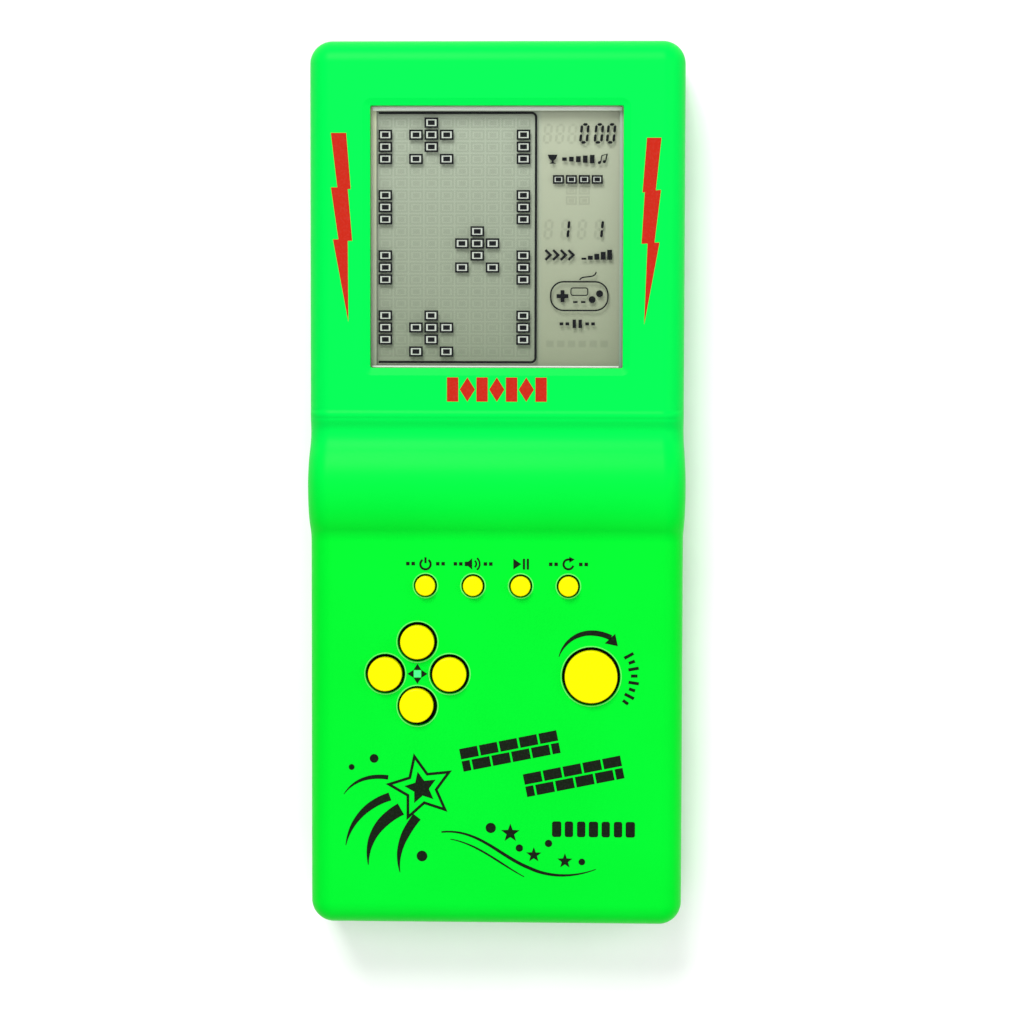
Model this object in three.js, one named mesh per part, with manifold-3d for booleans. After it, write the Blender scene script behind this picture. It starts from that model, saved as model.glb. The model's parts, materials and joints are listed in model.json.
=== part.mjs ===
// Handheld LCD brick game, lying on its back: +Z is out of the face, +Y runs up the face
// towards the screen, +X is to the player's right. Millimetres. The origin is the centre
// of the flat back.
import * as THREE from 'three';
import { mergeVertices } from 'three/addons/utils/BufferGeometryUtils.js';
import Module from 'manifold-3d';

const wasm = await Module();
wasm.setup();

// ---------------------------------------------------------------- driving dimensions

const GAP = 0.3; // between pieces that rest on or pass each other
const SHEET_GAP = 0.05; // between the glued sheets of the display

// Case
const LENGTH = 180;
const WIDTH = 76;
const WALL = 2.0;
const EDGE_ROUND = 4.6; // every outer edge and corner
const PANEL_STEP = 1.0; // screen panel above the keypad face
const BEAD_HEIGHT = 0.25; // raised line that closes the panel
const BEAD_HALF = 0.8;
const BEAD_OFFSET = 14.6; // bead above the crest of the roll
const ROLL_FROM_TOP = 90.0; // top end to the crest of the roll
const ROLL_RISE = 3.0; // crest above the keypad face
const ROLL_REACH = 11.0; // crest to the foot on either side
const ROLL_BULGE = 0.4; // how far the roll stands out of each side

// Window and display
const WINDOW_WIDTH = 51.0; // clear opening
const WINDOW_HEIGHT = 52.7;
const WINDOW_FROM_TOP = 39.6; // top end to the window's centre
const WINDOW_ROUND = 1.0;
const RIM_WIDTH = 1.5; // slope of the face down to the opening
const RIM_DEPTH = 0.45;
const LENS_LAP = 2.0; // lens flange beyond the opening, on each side
const LENS_THICKNESS = 0.8; // of the flange
const LENS_SINK = 0.15; // lens below the foot of the slope
const GLASS_LAP = 0.7; // display glass beyond the opening, on each side
const GLASS_THICKNESS = 0.9;
const FILM_THICKNESS = 0.2;
const CONTACT_LEDGE = 2.4; // strip of the front glass that the rear glass leaves free
const RIB = 1.0;
const LENS_RIB_DEPTH = 3.2;

// Keys
const SMALL_KEY = { radius: 2.0, hole: 2.3 };
const PAD_KEY = { radius: 3.45, hole: 4.0 };
const TURN_KEY = { radius: 5.35, hole: 5.9 };
const KEY_RISE = 1.8; // crown above the keypad face
const KEY_CROWN = 0.5; // height of the rounded crown
const FLANGE = 0.8;
const FLANGE_THICKNESS = 0.8;
const SMALL_PITCH = 9.68;
const SMALL_ROW_DROP = 20.15; // crest of the roll down to the row of small keys
const SMALL_ROW_X = 0.2;
const PAD_X = -15.95;
const PAD_DROP = 38.2;
const PAD_ARM = 6.55; // middle of the cross to each of its keys
const TURN_X = 19.4;
const TURN_DROP = 38.5;
const DOWN_KEY_LEAN = [-0.16, 0.16]; // the lowest key of the cross sits off its hole's centre
const DOME_WALL = 0.5;
const MAT_BASE = 0.8;
const MAT_MARGIN = 2.4;
const MAT_RISE = 1.7; // top of the domes above the board
const PILL_THICKNESS = 0.3;
const PILL_AIR = 1.1; // carbon pill above the board, a little over the travel

// Power
const CELL_RADIUS = 7.25;
const CELL_LENGTH = 50.5;
const NUB_RADIUS = 2.75;
const NUB_HEIGHT = 1.0;
const SPRING_LENGTH = 6.6;
const SPRING_WIRE = 0.35;
const CONTACT_THICKNESS = 0.4;
const CONTACT_WIDTH = 9;
const BAY_WALL = 1.5;
const BAY_CEILING = 0.9;
const TAB_WIDTH = 3; // solder tab of a contact
const LEAD = 0.6; // radius of the inner leads
const PAD_INSET = 2.85; // outer lead pad of the board inside the bay's end
const PAD_PITCH = 3.5;
const BAY_BELOW_ROLL = 4.4; // crest of the roll down to the bay's lower side
const DOOR_RECESS = 0.2; // door below the flat back
const DOOR_THICKNESS = 1.5;
const DOOR_LEDGE = 2.5; // door beyond the bay towards either end
const SIDE_LEDGE = 1.4;
const TONGUE_X = 16;
const TONGUE_WIDTH = 8;
const TONGUE_THICKNESS = 0.8;
const TONGUE_REACH = 2.6;
const LATCH_WIDTH = 12;
const LATCH_HEIGHT = 3.0;
const LATCH_THICKNESS = 1.2;
const THUMB = { radius: 9, depth: 1.2, beyond: 1.5 }; // hollow beside the latch

// Board and what it carries
const BOARD_THICKNESS = 1.2;
const BOARD_END_MARGIN = 6.0; // board edge inside each end of the case
const STRIP_DEPTH = 1.6; // rubber strip that joins the glass to the board
const CHIP = { x: 2, drop: 30, radius: 6.6, height: 1.4 }; // drop: below the roll's crest
const CAN = { x: -16, drop: 68, radius: 2.5, height: 8, groove: 1.3 };
const DISC_CAP = { x: 12, drop: 52, radius: 2.4, thickness: 1.8, hang: 2.6 };
const RESISTORS = [{ x: -20, drop: 54 }, { x: -20, drop: 58 }, { x: 14, drop: 66 }];
const RESISTOR = { radius: 0.8, cap: 1, half: 3.1, hang: 1.4, lead: 0.3, reach: 4.6 };

// Fasteners
const CASE_SCREW = { radius: 1.2, head: 2.1, headHeight: 1.6, length: 11 };
const BOARD_SCREW = { radius: 0.9, head: 1.8, headHeight: 1.2, length: 3.4 };
const CASE_BOSS = 3.0;
const REAR_BOSS = 3.7;
const BOSS_INSET = 6.0; // boss centre inside the side wall's outer face
const BOSS_FROM_END = 7.5;
const MID_BOSS_DROP = 14.8; // crest of the roll down to the middle pair
const SCREW_SEAT = 7.0; // seat of the case screws above the back
const POST = 2.4;
const POST_INSET = 12.5;
const MID_POST_DROP = 13.3;
const RECESS_DEPTH = 0.7; // cross recess of the screws
const RECESS_WIDTH = 0.5;

// Sound
const DISC_RADIUS = 10;
const DISC_THICKNESS = 0.25;
const CERAMIC_RADIUS = 7;
const SOUNDER_FROM_BOTTOM = 30;
const SOUNDER_SEAT = 1.2; // disc above the inside of the rear wall
const SOUND_HOLE = 0.9;
const SOUND_RING = 4.5;

// ------------------------------------------------------------------ derived levels

const cellBottom = DOOR_RECESS + DOOR_THICKNESS + GAP;
const cellAxisZ = cellBottom + CELL_RADIUS;
const bayCeilingZ = cellAxisZ + CELL_RADIUS + GAP;
const bayTopZ = bayCeilingZ + BAY_CEILING;
const boardBottomZ = bayTopZ + GAP;
const boardTopZ = boardBottomZ + BOARD_THICKNESS;
const matTopZ = boardTopZ + MAT_RISE;
const flangeBottomZ = matTopZ + SHEET_GAP;
const flangeTopZ = flangeBottomZ + FLANGE_THICKNESS;
const keypadZ = flangeTopZ + GAP + WALL;
const panelZ = keypadZ + PANEL_STEP;
const partingZ = keypadZ / 2;
const pillBottomZ = boardTopZ + PILL_AIR;

const lensFlangeZ = panelZ - WALL - GAP;
const lensBottomZ = lensFlangeZ - LENS_THICKNESS;
const lensTopZ = panelZ - RIM_DEPTH - LENS_SINK;
const polarizerTopZ = lensBottomZ - SHEET_GAP;
const frontGlassTopZ = polarizerTopZ - FILM_THICKNESS - SHEET_GAP;
const rearGlassTopZ = frontGlassTopZ - GLASS_THICKNESS - SHEET_GAP;
const reflectorTopZ = rearGlassTopZ - GLASS_THICKNESS - SHEET_GAP;

// ------------------------------------------------------------------ derived places

const topY = LENGTH / 2;
const rollY = topY - ROLL_FROM_TOP;
const windowY = topY - WINDOW_FROM_TOP;
const smallRowY = rollY - SMALL_ROW_DROP;
const padY = rollY - PAD_DROP;
const turnY = rollY - TURN_DROP;

const lensWidth = WINDOW_WIDTH + 2 * LENS_LAP;
const lensHeight = WINDOW_HEIGHT + 2 * LENS_LAP;
const glassWidth = WINDOW_WIDTH + 2 * GLASS_LAP;
const glassHeight = WINDOW_HEIGHT + 2 * GLASS_LAP;
const ledgeLowY = windowY - glassHeight / 2 - CONTACT_LEDGE; // lower edge of the front glass

const bossX = WIDTH / 2 - BOSS_INSET;
const bossEndY = topY - BOSS_FROM_END;
const postX = WIDTH / 2 - POST_INSET;
const boardHalf = bossX - CASE_BOSS - GAP;

const bayHalf = (CELL_LENGTH + NUB_HEIGHT + SPRING_LENGTH) / 2 + CONTACT_THICKNESS + 2 * GAP;
const bayBottomY = rollY - BAY_BELOW_ROLL;
const bayTopY = bayBottomY + 4 * CELL_RADIUS + 3 * GAP;
const [lowRow, highRow] = [bayBottomY + GAP + CELL_RADIUS, bayTopY - GAP - CELL_RADIUS];
const plateX = bayHalf - GAP - CONTACT_THICKNESS; // inner face of a contact
const [padRowX, padRowY] = [-bayHalf + PAD_INSET, bayBottomY - BAY_WALL - 1.2]; // lead pads
const doorTopY = bayTopY + DOOR_LEDGE;
const doorBottomY = bayBottomY - DOOR_LEDGE;
const doorHalf = bayHalf + SIDE_LEDGE;
const hingeY = doorBottomY + DOOR_THICKNESS / 2;
const hingeZ = DOOR_RECESS + DOOR_THICKNESS / 2;
const sounderY = -topY + SOUNDER_FROM_BOTTOM;

const smallKey = (name, place) => ({
  name, size: SMALL_KEY, x: SMALL_ROW_X + (place - 1.5) * SMALL_PITCH, y: smallRowY, sides: 14,
});
const padKey = (name, right, up, lean = [0, 0]) => ({
  name, size: PAD_KEY, x: PAD_X + right * PAD_ARM, y: padY + up * PAD_ARM, lean, sides: 18,
});

const KEYS = [
  smallKey('power', 0),
  smallKey('sound', 1),
  smallKey('start', 2),
  smallKey('restart', 3),
  padKey('up', 0, 1),
  padKey('left', -1, 0),
  padKey('right', 1, 0),
  padKey('down', 0, -1, DOWN_KEY_LEAN),
  { name: 'turn', size: TURN_KEY, x: TURN_X, y: turnY, sides: 24 },
];

// ------------------------------------------------------------------------ finishes

const finish = (color, roughness, metalness = 0) =>
  new THREE.MeshStandardMaterial({ color, roughness, metalness });

const FINISHES = {
  greenPlastic: () => finish('#00e83a', 0.35),
  yellowPlastic: () => finish('#f7f000', 0.35),
  clearPlastic: () => finish('#dfe6e0', 0.08),
  displayGlass: () => finish('#aebfa6', 0.1),
  film: () => finish('#8f9a86', 0.3),
  reflector: () => finish('#c9cfc4', 0.4, 0.4),
  silicone: () => finish('#d8d8d2', 0.6),
  carbon: () => finish('#1b1b1c', 0.7),
  boardLaminate: () => finish('#b98a4a', 0.6),
  epoxy: () => finish('#15151a', 0.3),
  blackRubber: () => finish('#202022', 0.7),
  screwSteel: () => finish('#b8bbc0', 0.3, 1),
  springSteel: () => finish('#c9ccd0', 0.25, 1),
  brass: () => finish('#c9a24a', 0.35, 1),
  ceramic: () => finish('#ecebe4', 0.4),
  capacitorSleeve: () => finish('#1d2a55', 0.4),
  resistorBody: () => finish('#d9c08a', 0.5),
  ceramicCapacitor: () => finish('#c8742a', 0.5),
  cellLabel: () => finish('#2b5f8c', 0.35),
  redLead: () => finish('#b4201c', 0.5),
  blackLead: () => finish('#1a1a1a', 0.5),
};

// ----------------------------------------------------------------- geometry helpers

/** A closed three.js geometry as a solid that can be joined and cut. */
function solid(geometry) {
  const bare = geometry.clone();
  bare.deleteAttribute('normal');
  bare.deleteAttribute('uv');
  const merged = mergeVertices(bare, 1e-4);
  const corners = merged.index.array;
  const triVerts = [];
  for (let i = 0; i < corners.length; i += 3) {
    const [a, b, c] = corners.slice(i, i + 3);
    if (a !== b && b !== c && c !== a) triVerts.push(a, b, c);
  }
  return new wasm.Manifold(new wasm.Mesh({
    numProp: 3,
    vertProperties: merged.attributes.position.array,
    triVerts: new Uint32Array(triVerts),
  }));
}

/** A solid's surface as a three.js geometry. */
function surface(body) {
  const { vertProperties, triVerts } = body.getMesh();
  const geometry = new THREE.BufferGeometry();
  geometry.setAttribute('position', new THREE.BufferAttribute(vertProperties, 3));
  geometry.setIndex(new THREE.BufferAttribute(triVerts, 1));
  geometry.computeVertexNormals();
  return geometry;
}

/** Several solids as one. */
const joined = (...bodies) => bodies.reduce((whole, body) => whole.add(body));

/** A box between two corners. */
function block([x0, y0, z0], [x1, y1, z1]) {
  const geometry = new THREE.BoxGeometry(x1 - x0, y1 - y0, z1 - z0);
  return solid(geometry.translate((x0 + x1) / 2, (y0 + y1) / 2, (z0 + z1) / 2));
}

/** An upright cylinder, with a corner of its outline on +X. */
function column(radius, x, y, z0, z1, sides = 24) {
  const geometry = new THREE.CylinderGeometry(radius, radius, z1 - z0, sides);
  return solid(geometry.rotateX(Math.PI / 2).translate(x, y, (z0 + z1) / 2));
}

/** A solid of revolution about the upright line at x, y, from [radius, z] points. */
function turned(profile, x, y, sides = 24) {
  const points = profile.map(([radius, z]) => new THREE.Vector2(radius, z));
  const geometry = new THREE.LatheGeometry(points, sides);
  return solid(geometry.rotateX(Math.PI / 2).translate(x, y, 0));
}

/** A rectangle with round corners, centred on x, y. */
function roundedOutline(width, height, radius, x, y) {
  const [left, right, low, high] = [x - width / 2, x + width / 2, y - height / 2, y + height / 2];
  const outline = new THREE.Shape();
  outline.absarc(right - radius, high - radius, radius, 0, Math.PI / 2);
  outline.absarc(left + radius, high - radius, radius, Math.PI / 2, Math.PI);
  outline.absarc(left + radius, low + radius, radius, Math.PI, 1.5 * Math.PI);
  outline.absarc(right - radius, low + radius, radius, 1.5 * Math.PI, 2 * Math.PI);
  return outline;
}

/** An outline in the face's plane, pulled up from z0 to z1. */
function plate(outline, z0, z1, curveSegments = 4) {
  const geometry = new THREE.ExtrudeGeometry(outline, {
    depth: z1 - z0, bevelEnabled: false, curveSegments,
  });
  return solid(geometry.translate(0, 0, z0));
}

/** A round wire along points, squared off at both ends. */
function wire(radius, points, steps, sides = 8) {
  const section = new THREE.Shape().absarc(0, 0, radius, 0, 2 * Math.PI);
  const path = new THREE.CatmullRomCurve3(points.map((point) => new THREE.Vector3(...point)));
  return solid(new THREE.ExtrudeGeometry(section, {
    steps, extrudePath: path, curveSegments: sides,
  }));
}

/** A skin through closed rings of equal length, closed at both ends. */
function loft(rings, flip) {
  const count = rings[0].length;
  const corners = [];
  const face = (a, b, c) => corners.push(...(flip ? [a, c, b] : [a, b, c]));
  for (let j = 0; j + 1 < rings.length; j += 1) {
    for (let i = 0; i < count; i += 1) {
      const a = j * count + i;
      const b = j * count + (i + 1) % count;
      face(a, a + count, b);
      face(b, a + count, b + count);
    }
  }
  const last = (rings.length - 1) * count;
  for (let i = 1; i + 1 < count; i += 1) {
    face(0, i, i + 1);
    face(last, last + i + 1, last + i);
  }
  const geometry = new THREE.BufferGeometry();
  geometry.setFromPoints(rings.flat());
  geometry.setIndex(corners);
  return solid(geometry);
}

const meshes = new Map();

/** A named sub-part with its own finish. */
function part(name, body, finishName) {
  const mesh = new THREE.Mesh(surface(body), FINISHES[finishName]());
  mesh.name = name;
  meshes.set(name, mesh);
  return mesh;
}

/** Sub-parts that belong together on the bench. */
function assembly(...parts) {
  const group = new THREE.Group();
  group.add(...parts);
  return group;
}

// ----------------------------------------------------------------------- case forms

/** The face's height along the length, from the lower end to the upper one. */
function facePath() {
  const along = (share) => rollY + share * ROLL_REACH;
  const up = (share) => keypadZ + share * ROLL_RISE;
  const panelEnd = rollY + BEAD_OFFSET - BEAD_HALF;
  const beadTop = panelZ + BEAD_HEIGHT;
  const path = new THREE.Path();
  path.moveTo(-topY + EDGE_ROUND, keypadZ);
  path.lineTo(along(-1.04), keypadZ);
  path.bezierCurveTo(along(-0.96), keypadZ, along(-0.88), up(0.08), along(-0.8), up(0.27));
  path.bezierCurveTo(along(-0.6), up(0.77), along(-0.33), up(1), along(0), up(1));
  path.bezierCurveTo(along(0.27), up(1), along(0.47), up(0.73), along(0.64), up(0.43));
  path.bezierCurveTo(along(0.76), up(0.2), along(0.86), up(0.04), along(1), up(0.03));
  path.bezierCurveTo(along(1.12), up(0.02), panelEnd - BEAD_HALF, panelZ, panelEnd, panelZ);
  path.quadraticCurveTo(panelEnd + BEAD_HALF / 2, beadTop, panelEnd + BEAD_HALF, beadTop);
  path.quadraticCurveTo(panelEnd + 1.5 * BEAD_HALF, beadTop, panelEnd + 2 * BEAD_HALF, panelZ);
  path.lineTo(topY - EDGE_ROUND, panelZ);
  return path;
}

/** Stations along the length: place, face level and how far the side swells there. */
function stations(divisions) {
  return facePath().getPoints(divisions).map(({ x: y, y: level }) => {
    const onRoll = Math.abs(y - rollY) < ROLL_REACH;
    const swell = onRoll ? ROLL_BULGE * (level - keypadZ) / ROLL_RISE : 0;
    return { y, level, swell };
  });
}

/**
 * Half of the case as a solid block, its outer edges rounded.
 * inset shrinks it on every outer side; level gives its outer face at a station;
 * base is the flat inner side.
 */
function caseBlock({ inset, levelAt, base, divisions, edgeSteps }) {
  const round = EDGE_ROUND - inset;
  const inner = stations(divisions);
  const end = (station, sign) => Array.from({ length: edgeSteps }, (_, i) => {
    const angle = ((i + 1) / edgeSteps) * (Math.PI / 2);
    return { ...station, y: station.y + sign * round * Math.sin(angle), reach: Math.cos(angle) };
  });
  const rows = [
    ...end(inner[0], -1).reverse(),
    ...inner.map((station) => ({ ...station, reach: 1 })),
    ...end(inner[inner.length - 1], 1),
  ];
  const up = Math.sign(levelAt(inner[0]) - base);
  const rings = rows.map((row) => {
    const radius = round * row.reach;
    const coreX = WIDTH / 2 + row.swell - inset - round;
    const coreZ = levelAt(row) - up * (inset + round);
    const arc = Array.from({ length: edgeSteps + 1 }, (_, i) => {
      const angle = (i / edgeSteps) * (Math.PI / 2);
      return [coreX + radius * Math.cos(angle), coreZ + up * radius * Math.sin(angle)];
    });
    const right = [[coreX + radius, base], ...arc];
    const left = right.map(([x, z]) => [-x, z]).reverse();
    return [...right, ...left].map(([x, z]) => new THREE.Vector3(x, row.y, z));
  });
  return loft(rings, up < 0);
}

const faceLevel = (station) => station.level;
const backLevel = () => 0;

/** Places of the six case screws. */
const casePlaces = [bossEndY, rollY - MID_BOSS_DROP, -bossEndY]
  .flatMap((y) => [-bossX, bossX].map((x) => [x, y]));

/** Places of the six board screws. */
const boardPlaces = [bossEndY - 0.5, rollY - MID_POST_DROP, -bossEndY + BOSS_INSET]
  .flatMap((y) => [-postX, postX].map((x) => [x, y]));

/** Height of the inside of the face above or below a station of the length. */
function insideLevel(y) {
  const rows = stations(8);
  const after = Math.max(1, rows.findIndex((row) => row.y >= y));
  const [low, high] = [rows[after - 1], rows[after]];
  const share = THREE.MathUtils.clamp((y - low.y) / (high.y - low.y), 0, 1);
  return THREE.MathUtils.lerp(low.level, high.level, share) - WALL;
}

/** The window through the face, with its sloping rim. */
function windowCut() {
  const outline = roundedOutline(WINDOW_WIDTH, WINDOW_HEIGHT, WINDOW_ROUND, 0, windowY);
  const past = 1.2; // carries the slope past the face
  const geometry = new THREE.ExtrudeGeometry(outline, {
    depth: WALL,
    bevelThickness: RIM_DEPTH * past,
    bevelSize: -RIM_WIDTH * past,
    bevelOffset: RIM_WIDTH * past,
    bevelSegments: 1,
    curveSegments: 4,
  });
  return solid(geometry.translate(0, 0, panelZ - RIM_DEPTH - WALL));
}

/** Four ribs that hold the lens and the display in place. */
function lensFrame() {
  const z0 = panelZ - WALL - LENS_RIB_DEPTH;
  const z1 = panelZ - WALL / 2;
  const half = lensWidth / 2 + GAP;
  const lowY = ledgeLowY - GAP;
  const highY = windowY + lensHeight / 2 + GAP;
  const frame = block([-half - RIB, lowY - RIB, z0], [half + RIB, highY + RIB, z1]);
  return frame.subtract(block([-half, lowY, z0 - 1], [half, highY, z1 + 1]));
}

function frontShell() {
  const common = { levelAt: faceLevel, divisions: 4 };
  const outer = caseBlock({ ...common, inset: 0, base: partingZ + GAP / 2, edgeSteps: 4 });
  const hollow = caseBlock({ ...common, inset: WALL, base: partingZ - 1, edgeSteps: 2 });
  const ribs = lensFrame().subtract(windowCut());
  const bosses = casePlaces.map(([x, y]) =>
    column(CASE_BOSS, x, y, partingZ + GAP / 2, insideLevel(y) + WALL / 2, 12));
  const posts = boardPlaces.map(([x, y]) =>
    column(POST, x, y, boardTopZ + GAP, insideLevel(y) + WALL / 2, 10));
  const bossHoles = casePlaces.map(([x, y]) =>
    column(CASE_SCREW.radius + GAP, x, y, 0, SCREW_SEAT + CASE_SCREW.length + GAP, 10));
  const postHoles = boardPlaces.map(([x, y]) => column(
    BOARD_SCREW.radius + GAP, x, y, 0, boardBottomZ + BOARD_SCREW.length, 10,
  ));
  const keyHoles = KEYS.map(({ size, x, y, sides }) =>
    column(size.hole, x, y, flangeTopZ, keypadZ + 1, sides));
  return joined(outer.subtract(hollow), ribs, ...bosses, ...posts)
    .subtract(joined(windowCut(), ...bossHoles, ...postHoles, ...keyHoles));
}

/** Walls, ceiling and door ledge of the battery bay. */
function bayWalls() {
  const ledgeX = doorHalf + BAY_WALL;
  const ledge = block(
    [-ledgeX, doorBottomY - BAY_WALL, WALL / 2],
    [ledgeX, doorTopY + BAY_WALL, WALL + BAY_WALL],
  );
  const bay = block(
    [-bayHalf - BAY_WALL, bayBottomY - BAY_WALL, WALL / 2],
    [bayHalf + BAY_WALL, bayTopY + BAY_WALL, bayTopZ],
  );
  return ledge.add(bay);
}

/** Everything that is cut out of the rear shell for the bay and its door. */
function bayCut() {
  const doorSeat = DOOR_RECESS + DOOR_THICKNESS + GAP;
  const pocket = block([-bayHalf, bayBottomY, -1], [bayHalf, bayTopY, bayCeilingZ]);
  const seat = block(
    [-doorHalf - GAP, doorBottomY - GAP, -1],
    [doorHalf + GAP, doorTopY + GAP, doorSeat],
  );
  const tongueHalf = TONGUE_WIDTH / 2 + GAP;
  const sweep = TONGUE_REACH + TONGUE_THICKNESS + 2 * GAP;
  const notches = [-TONGUE_X, TONGUE_X].flatMap((x) => [
    [hingeY - sweep, WALL],
    [doorBottomY - GAP, WALL / 2],
  ].map(([y0, z0]) => block(
    [x - tongueHalf, y0, z0],
    [x + tongueHalf, bayBottomY + 1, hingeZ + sweep + GAP],
  )));
  const latch = block(
    [-LATCH_WIDTH / 2 - GAP, doorTopY - LATCH_THICKNESS - 2 * GAP, -1],
    [LATCH_WIDTH / 2 + GAP, doorTopY + GAP, doorSeat + LATCH_HEIGHT + GAP],
  );
  const tabs = [lowRow, highRow].map((y) => block(
    [-bayHalf - BAY_WALL - 1, y - TAB_WIDTH / 2 - GAP, cellAxisZ - TAB_WIDTH],
    [-bayHalf + 1, y + TAB_WIDTH / 2 + GAP, cellAxisZ + TAB_WIDTH],
  ));
  return joined(pocket, seat, ...notches, latch, ...tabs);
}

/** A hollow in the back for a thumbnail, next to the door's latch. */
function thumbHollow() {
  const geometry = new THREE.SphereGeometry(THUMB.radius, 24, 16);
  return solid(geometry.translate(0, doorTopY + THUMB.beyond, THUMB.depth - THUMB.radius));
}

/** Ring wall that holds the sounder above its holes. */
function sounderSeat() {
  const z1 = WALL + SOUNDER_SEAT + 1.0;
  const ring = column(DISC_RADIUS + GAP + RIB, 0, sounderY, WALL / 2, z1, 24);
  const inside = column(DISC_RADIUS + GAP, 0, sounderY, WALL + SOUNDER_SEAT - GAP, z1 + 1, 24);
  const under = column(DISC_RADIUS - RIB, 0, sounderY, WALL, z1 + 1, 24);
  return ring.subtract(inside).subtract(under);
}

function soundHoles() {
  const ring = Array.from({ length: 6 }, (_, i) => {
    const angle = (i / 6) * 2 * Math.PI;
    const [x, y] = [SOUND_RING * Math.cos(angle), SOUND_RING * Math.sin(angle)];
    return column(SOUND_HOLE, x, sounderY + y, -1, WALL + 1, 10);
  });
  return joined(column(SOUND_HOLE, 0, sounderY, -1, WALL + 1, 10), ...ring);
}

function rearShell() {
  const common = { levelAt: backLevel, divisions: 2 };
  const outer = caseBlock({ ...common, inset: 0, base: partingZ - GAP / 2, edgeSteps: 3 });
  const hollow = caseBlock({ ...common, inset: WALL, base: partingZ + 1, edgeSteps: 2 });
  const bosses = casePlaces.map(([x, y]) =>
    column(REAR_BOSS, x, y, WALL / 2, partingZ - GAP / 2, 12));
  const bores = casePlaces.map(([x, y]) => joined(
    column(CASE_SCREW.head + GAP, x, y, -1, SCREW_SEAT, 10),
    column(CASE_SCREW.radius + GAP, x, y, -1, partingZ + 1, 10),
  ));
  return joined(outer.subtract(hollow), bayWalls(), sounderSeat(), ...bosses)
    .subtract(joined(bayCut(), thumbHollow(), soundHoles(), ...bores));
}

/** The door: a plate whose hinge edge is half round, two tongues and a latch. */
function batteryDoor() {
  const [z0, z1] = [DOOR_RECESS, DOOR_RECESS + DOOR_THICKNESS];
  const panel = block([-doorHalf, hingeY, z0], [doorHalf, doorTopY, z1]);
  const edgeGeometry = new THREE.CylinderGeometry(
    DOOR_THICKNESS / 2, DOOR_THICKNESS / 2, 2 * doorHalf, 16,
  );
  const edge = solid(edgeGeometry.rotateZ(Math.PI / 2).translate(0, hingeY, hingeZ));
  const tongueZ = WALL + GAP;
  const tongues = [-TONGUE_X, TONGUE_X].flatMap((x) => [
    block(
      [x - TONGUE_WIDTH / 2, hingeY - TONGUE_REACH, tongueZ],
      [x + TONGUE_WIDTH / 2, hingeY + 1, tongueZ + TONGUE_THICKNESS],
    ),
    block(
      [x - TONGUE_WIDTH / 2, hingeY - 0.2, z1 - 0.5],
      [x + TONGUE_WIDTH / 2, hingeY + 1, tongueZ + TONGUE_THICKNESS],
    ),
  ]);
  const latch = block(
    [-LATCH_WIDTH / 2, doorTopY - GAP - LATCH_THICKNESS, z1 - 0.5],
    [LATCH_WIDTH / 2, doorTopY - GAP, z1 + LATCH_HEIGHT],
  );
  return joined(panel, edge, ...tongues, latch);
}

// -------------------------------------------------------------------------- display

/** A flat sheet of the display; ledge carries it on below the window. */
function sheet(topZ, thickness, ledge = 0) {
  return block(
    [-glassWidth / 2, windowY - glassHeight / 2 - ledge, topZ - thickness],
    [glassWidth / 2, windowY + glassHeight / 2, topZ],
  );
}

/** The lens: a flange behind the face, and a raised field that fills the window. */
function screenLens() {
  const flange = roundedOutline(lensWidth, lensHeight, WINDOW_ROUND, 0, windowY);
  const field = roundedOutline(
    WINDOW_WIDTH - 2 * GAP, WINDOW_HEIGHT - 2 * GAP, WINDOW_ROUND - GAP, 0, windowY,
  );
  return plate(flange, lensBottomZ, lensFlangeZ).add(plate(field, lensBottomZ, lensTopZ));
}

/** The rubber strip that carries the segments' signals from the board to the glass. */
function zebraStrip() {
  const y0 = ledgeLowY + GAP;
  return block(
    [-glassWidth / 2, y0, boardTopZ + SHEET_GAP],
    [glassWidth / 2, y0 + STRIP_DEPTH, frontGlassTopZ - GLASS_THICKNESS - SHEET_GAP],
  );
}

// ----------------------------------------------------------------------------- keys

/** A cap: a stem with a rounded crown, and a flange that the face holds back. */
function keyCap({ size, x, y, lean = [0, 0], sides }) {
  const { radius } = size;
  const topZ = keypadZ + KEY_RISE;
  return turned([
    [0, flangeBottomZ],
    [radius + FLANGE, flangeBottomZ],
    [radius + FLANGE, flangeTopZ],
    [radius, flangeTopZ],
    [radius, topZ - KEY_CROWN],
    [radius - 0.45 * KEY_CROWN, topZ - 0.35 * KEY_CROWN],
    [radius - 1.2 * KEY_CROWN, topZ - 0.08 * KEY_CROWN],
    [0, topZ],
  ], x + lean[0], y + lean[1], sides);
}

const pillRadius = ({ size }) => size.radius * 0.6;
const domeRadius = ({ size }) => size.radius + FLANGE - DOME_WALL;

/** The dome under a key as a solid, or the space inside it. */
function dome(key, hollow) {
  const foot = domeRadius(key) - (hollow ? DOME_WALL : 0);
  const top = pillRadius(key) + (hollow ? GAP : DOME_WALL + GAP);
  const low = hollow ? boardTopZ - 1 : boardTopZ + MAT_BASE / 2;
  const waist = boardTopZ + MAT_BASE - (hollow ? DOME_WALL : 0);
  const high = hollow ? pillBottomZ + PILL_THICKNESS + SHEET_GAP : matTopZ;
  return turned([[0, low], [foot, low], [foot, waist], [top, high], [0, high]], key.x, key.y, 12);
}

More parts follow.
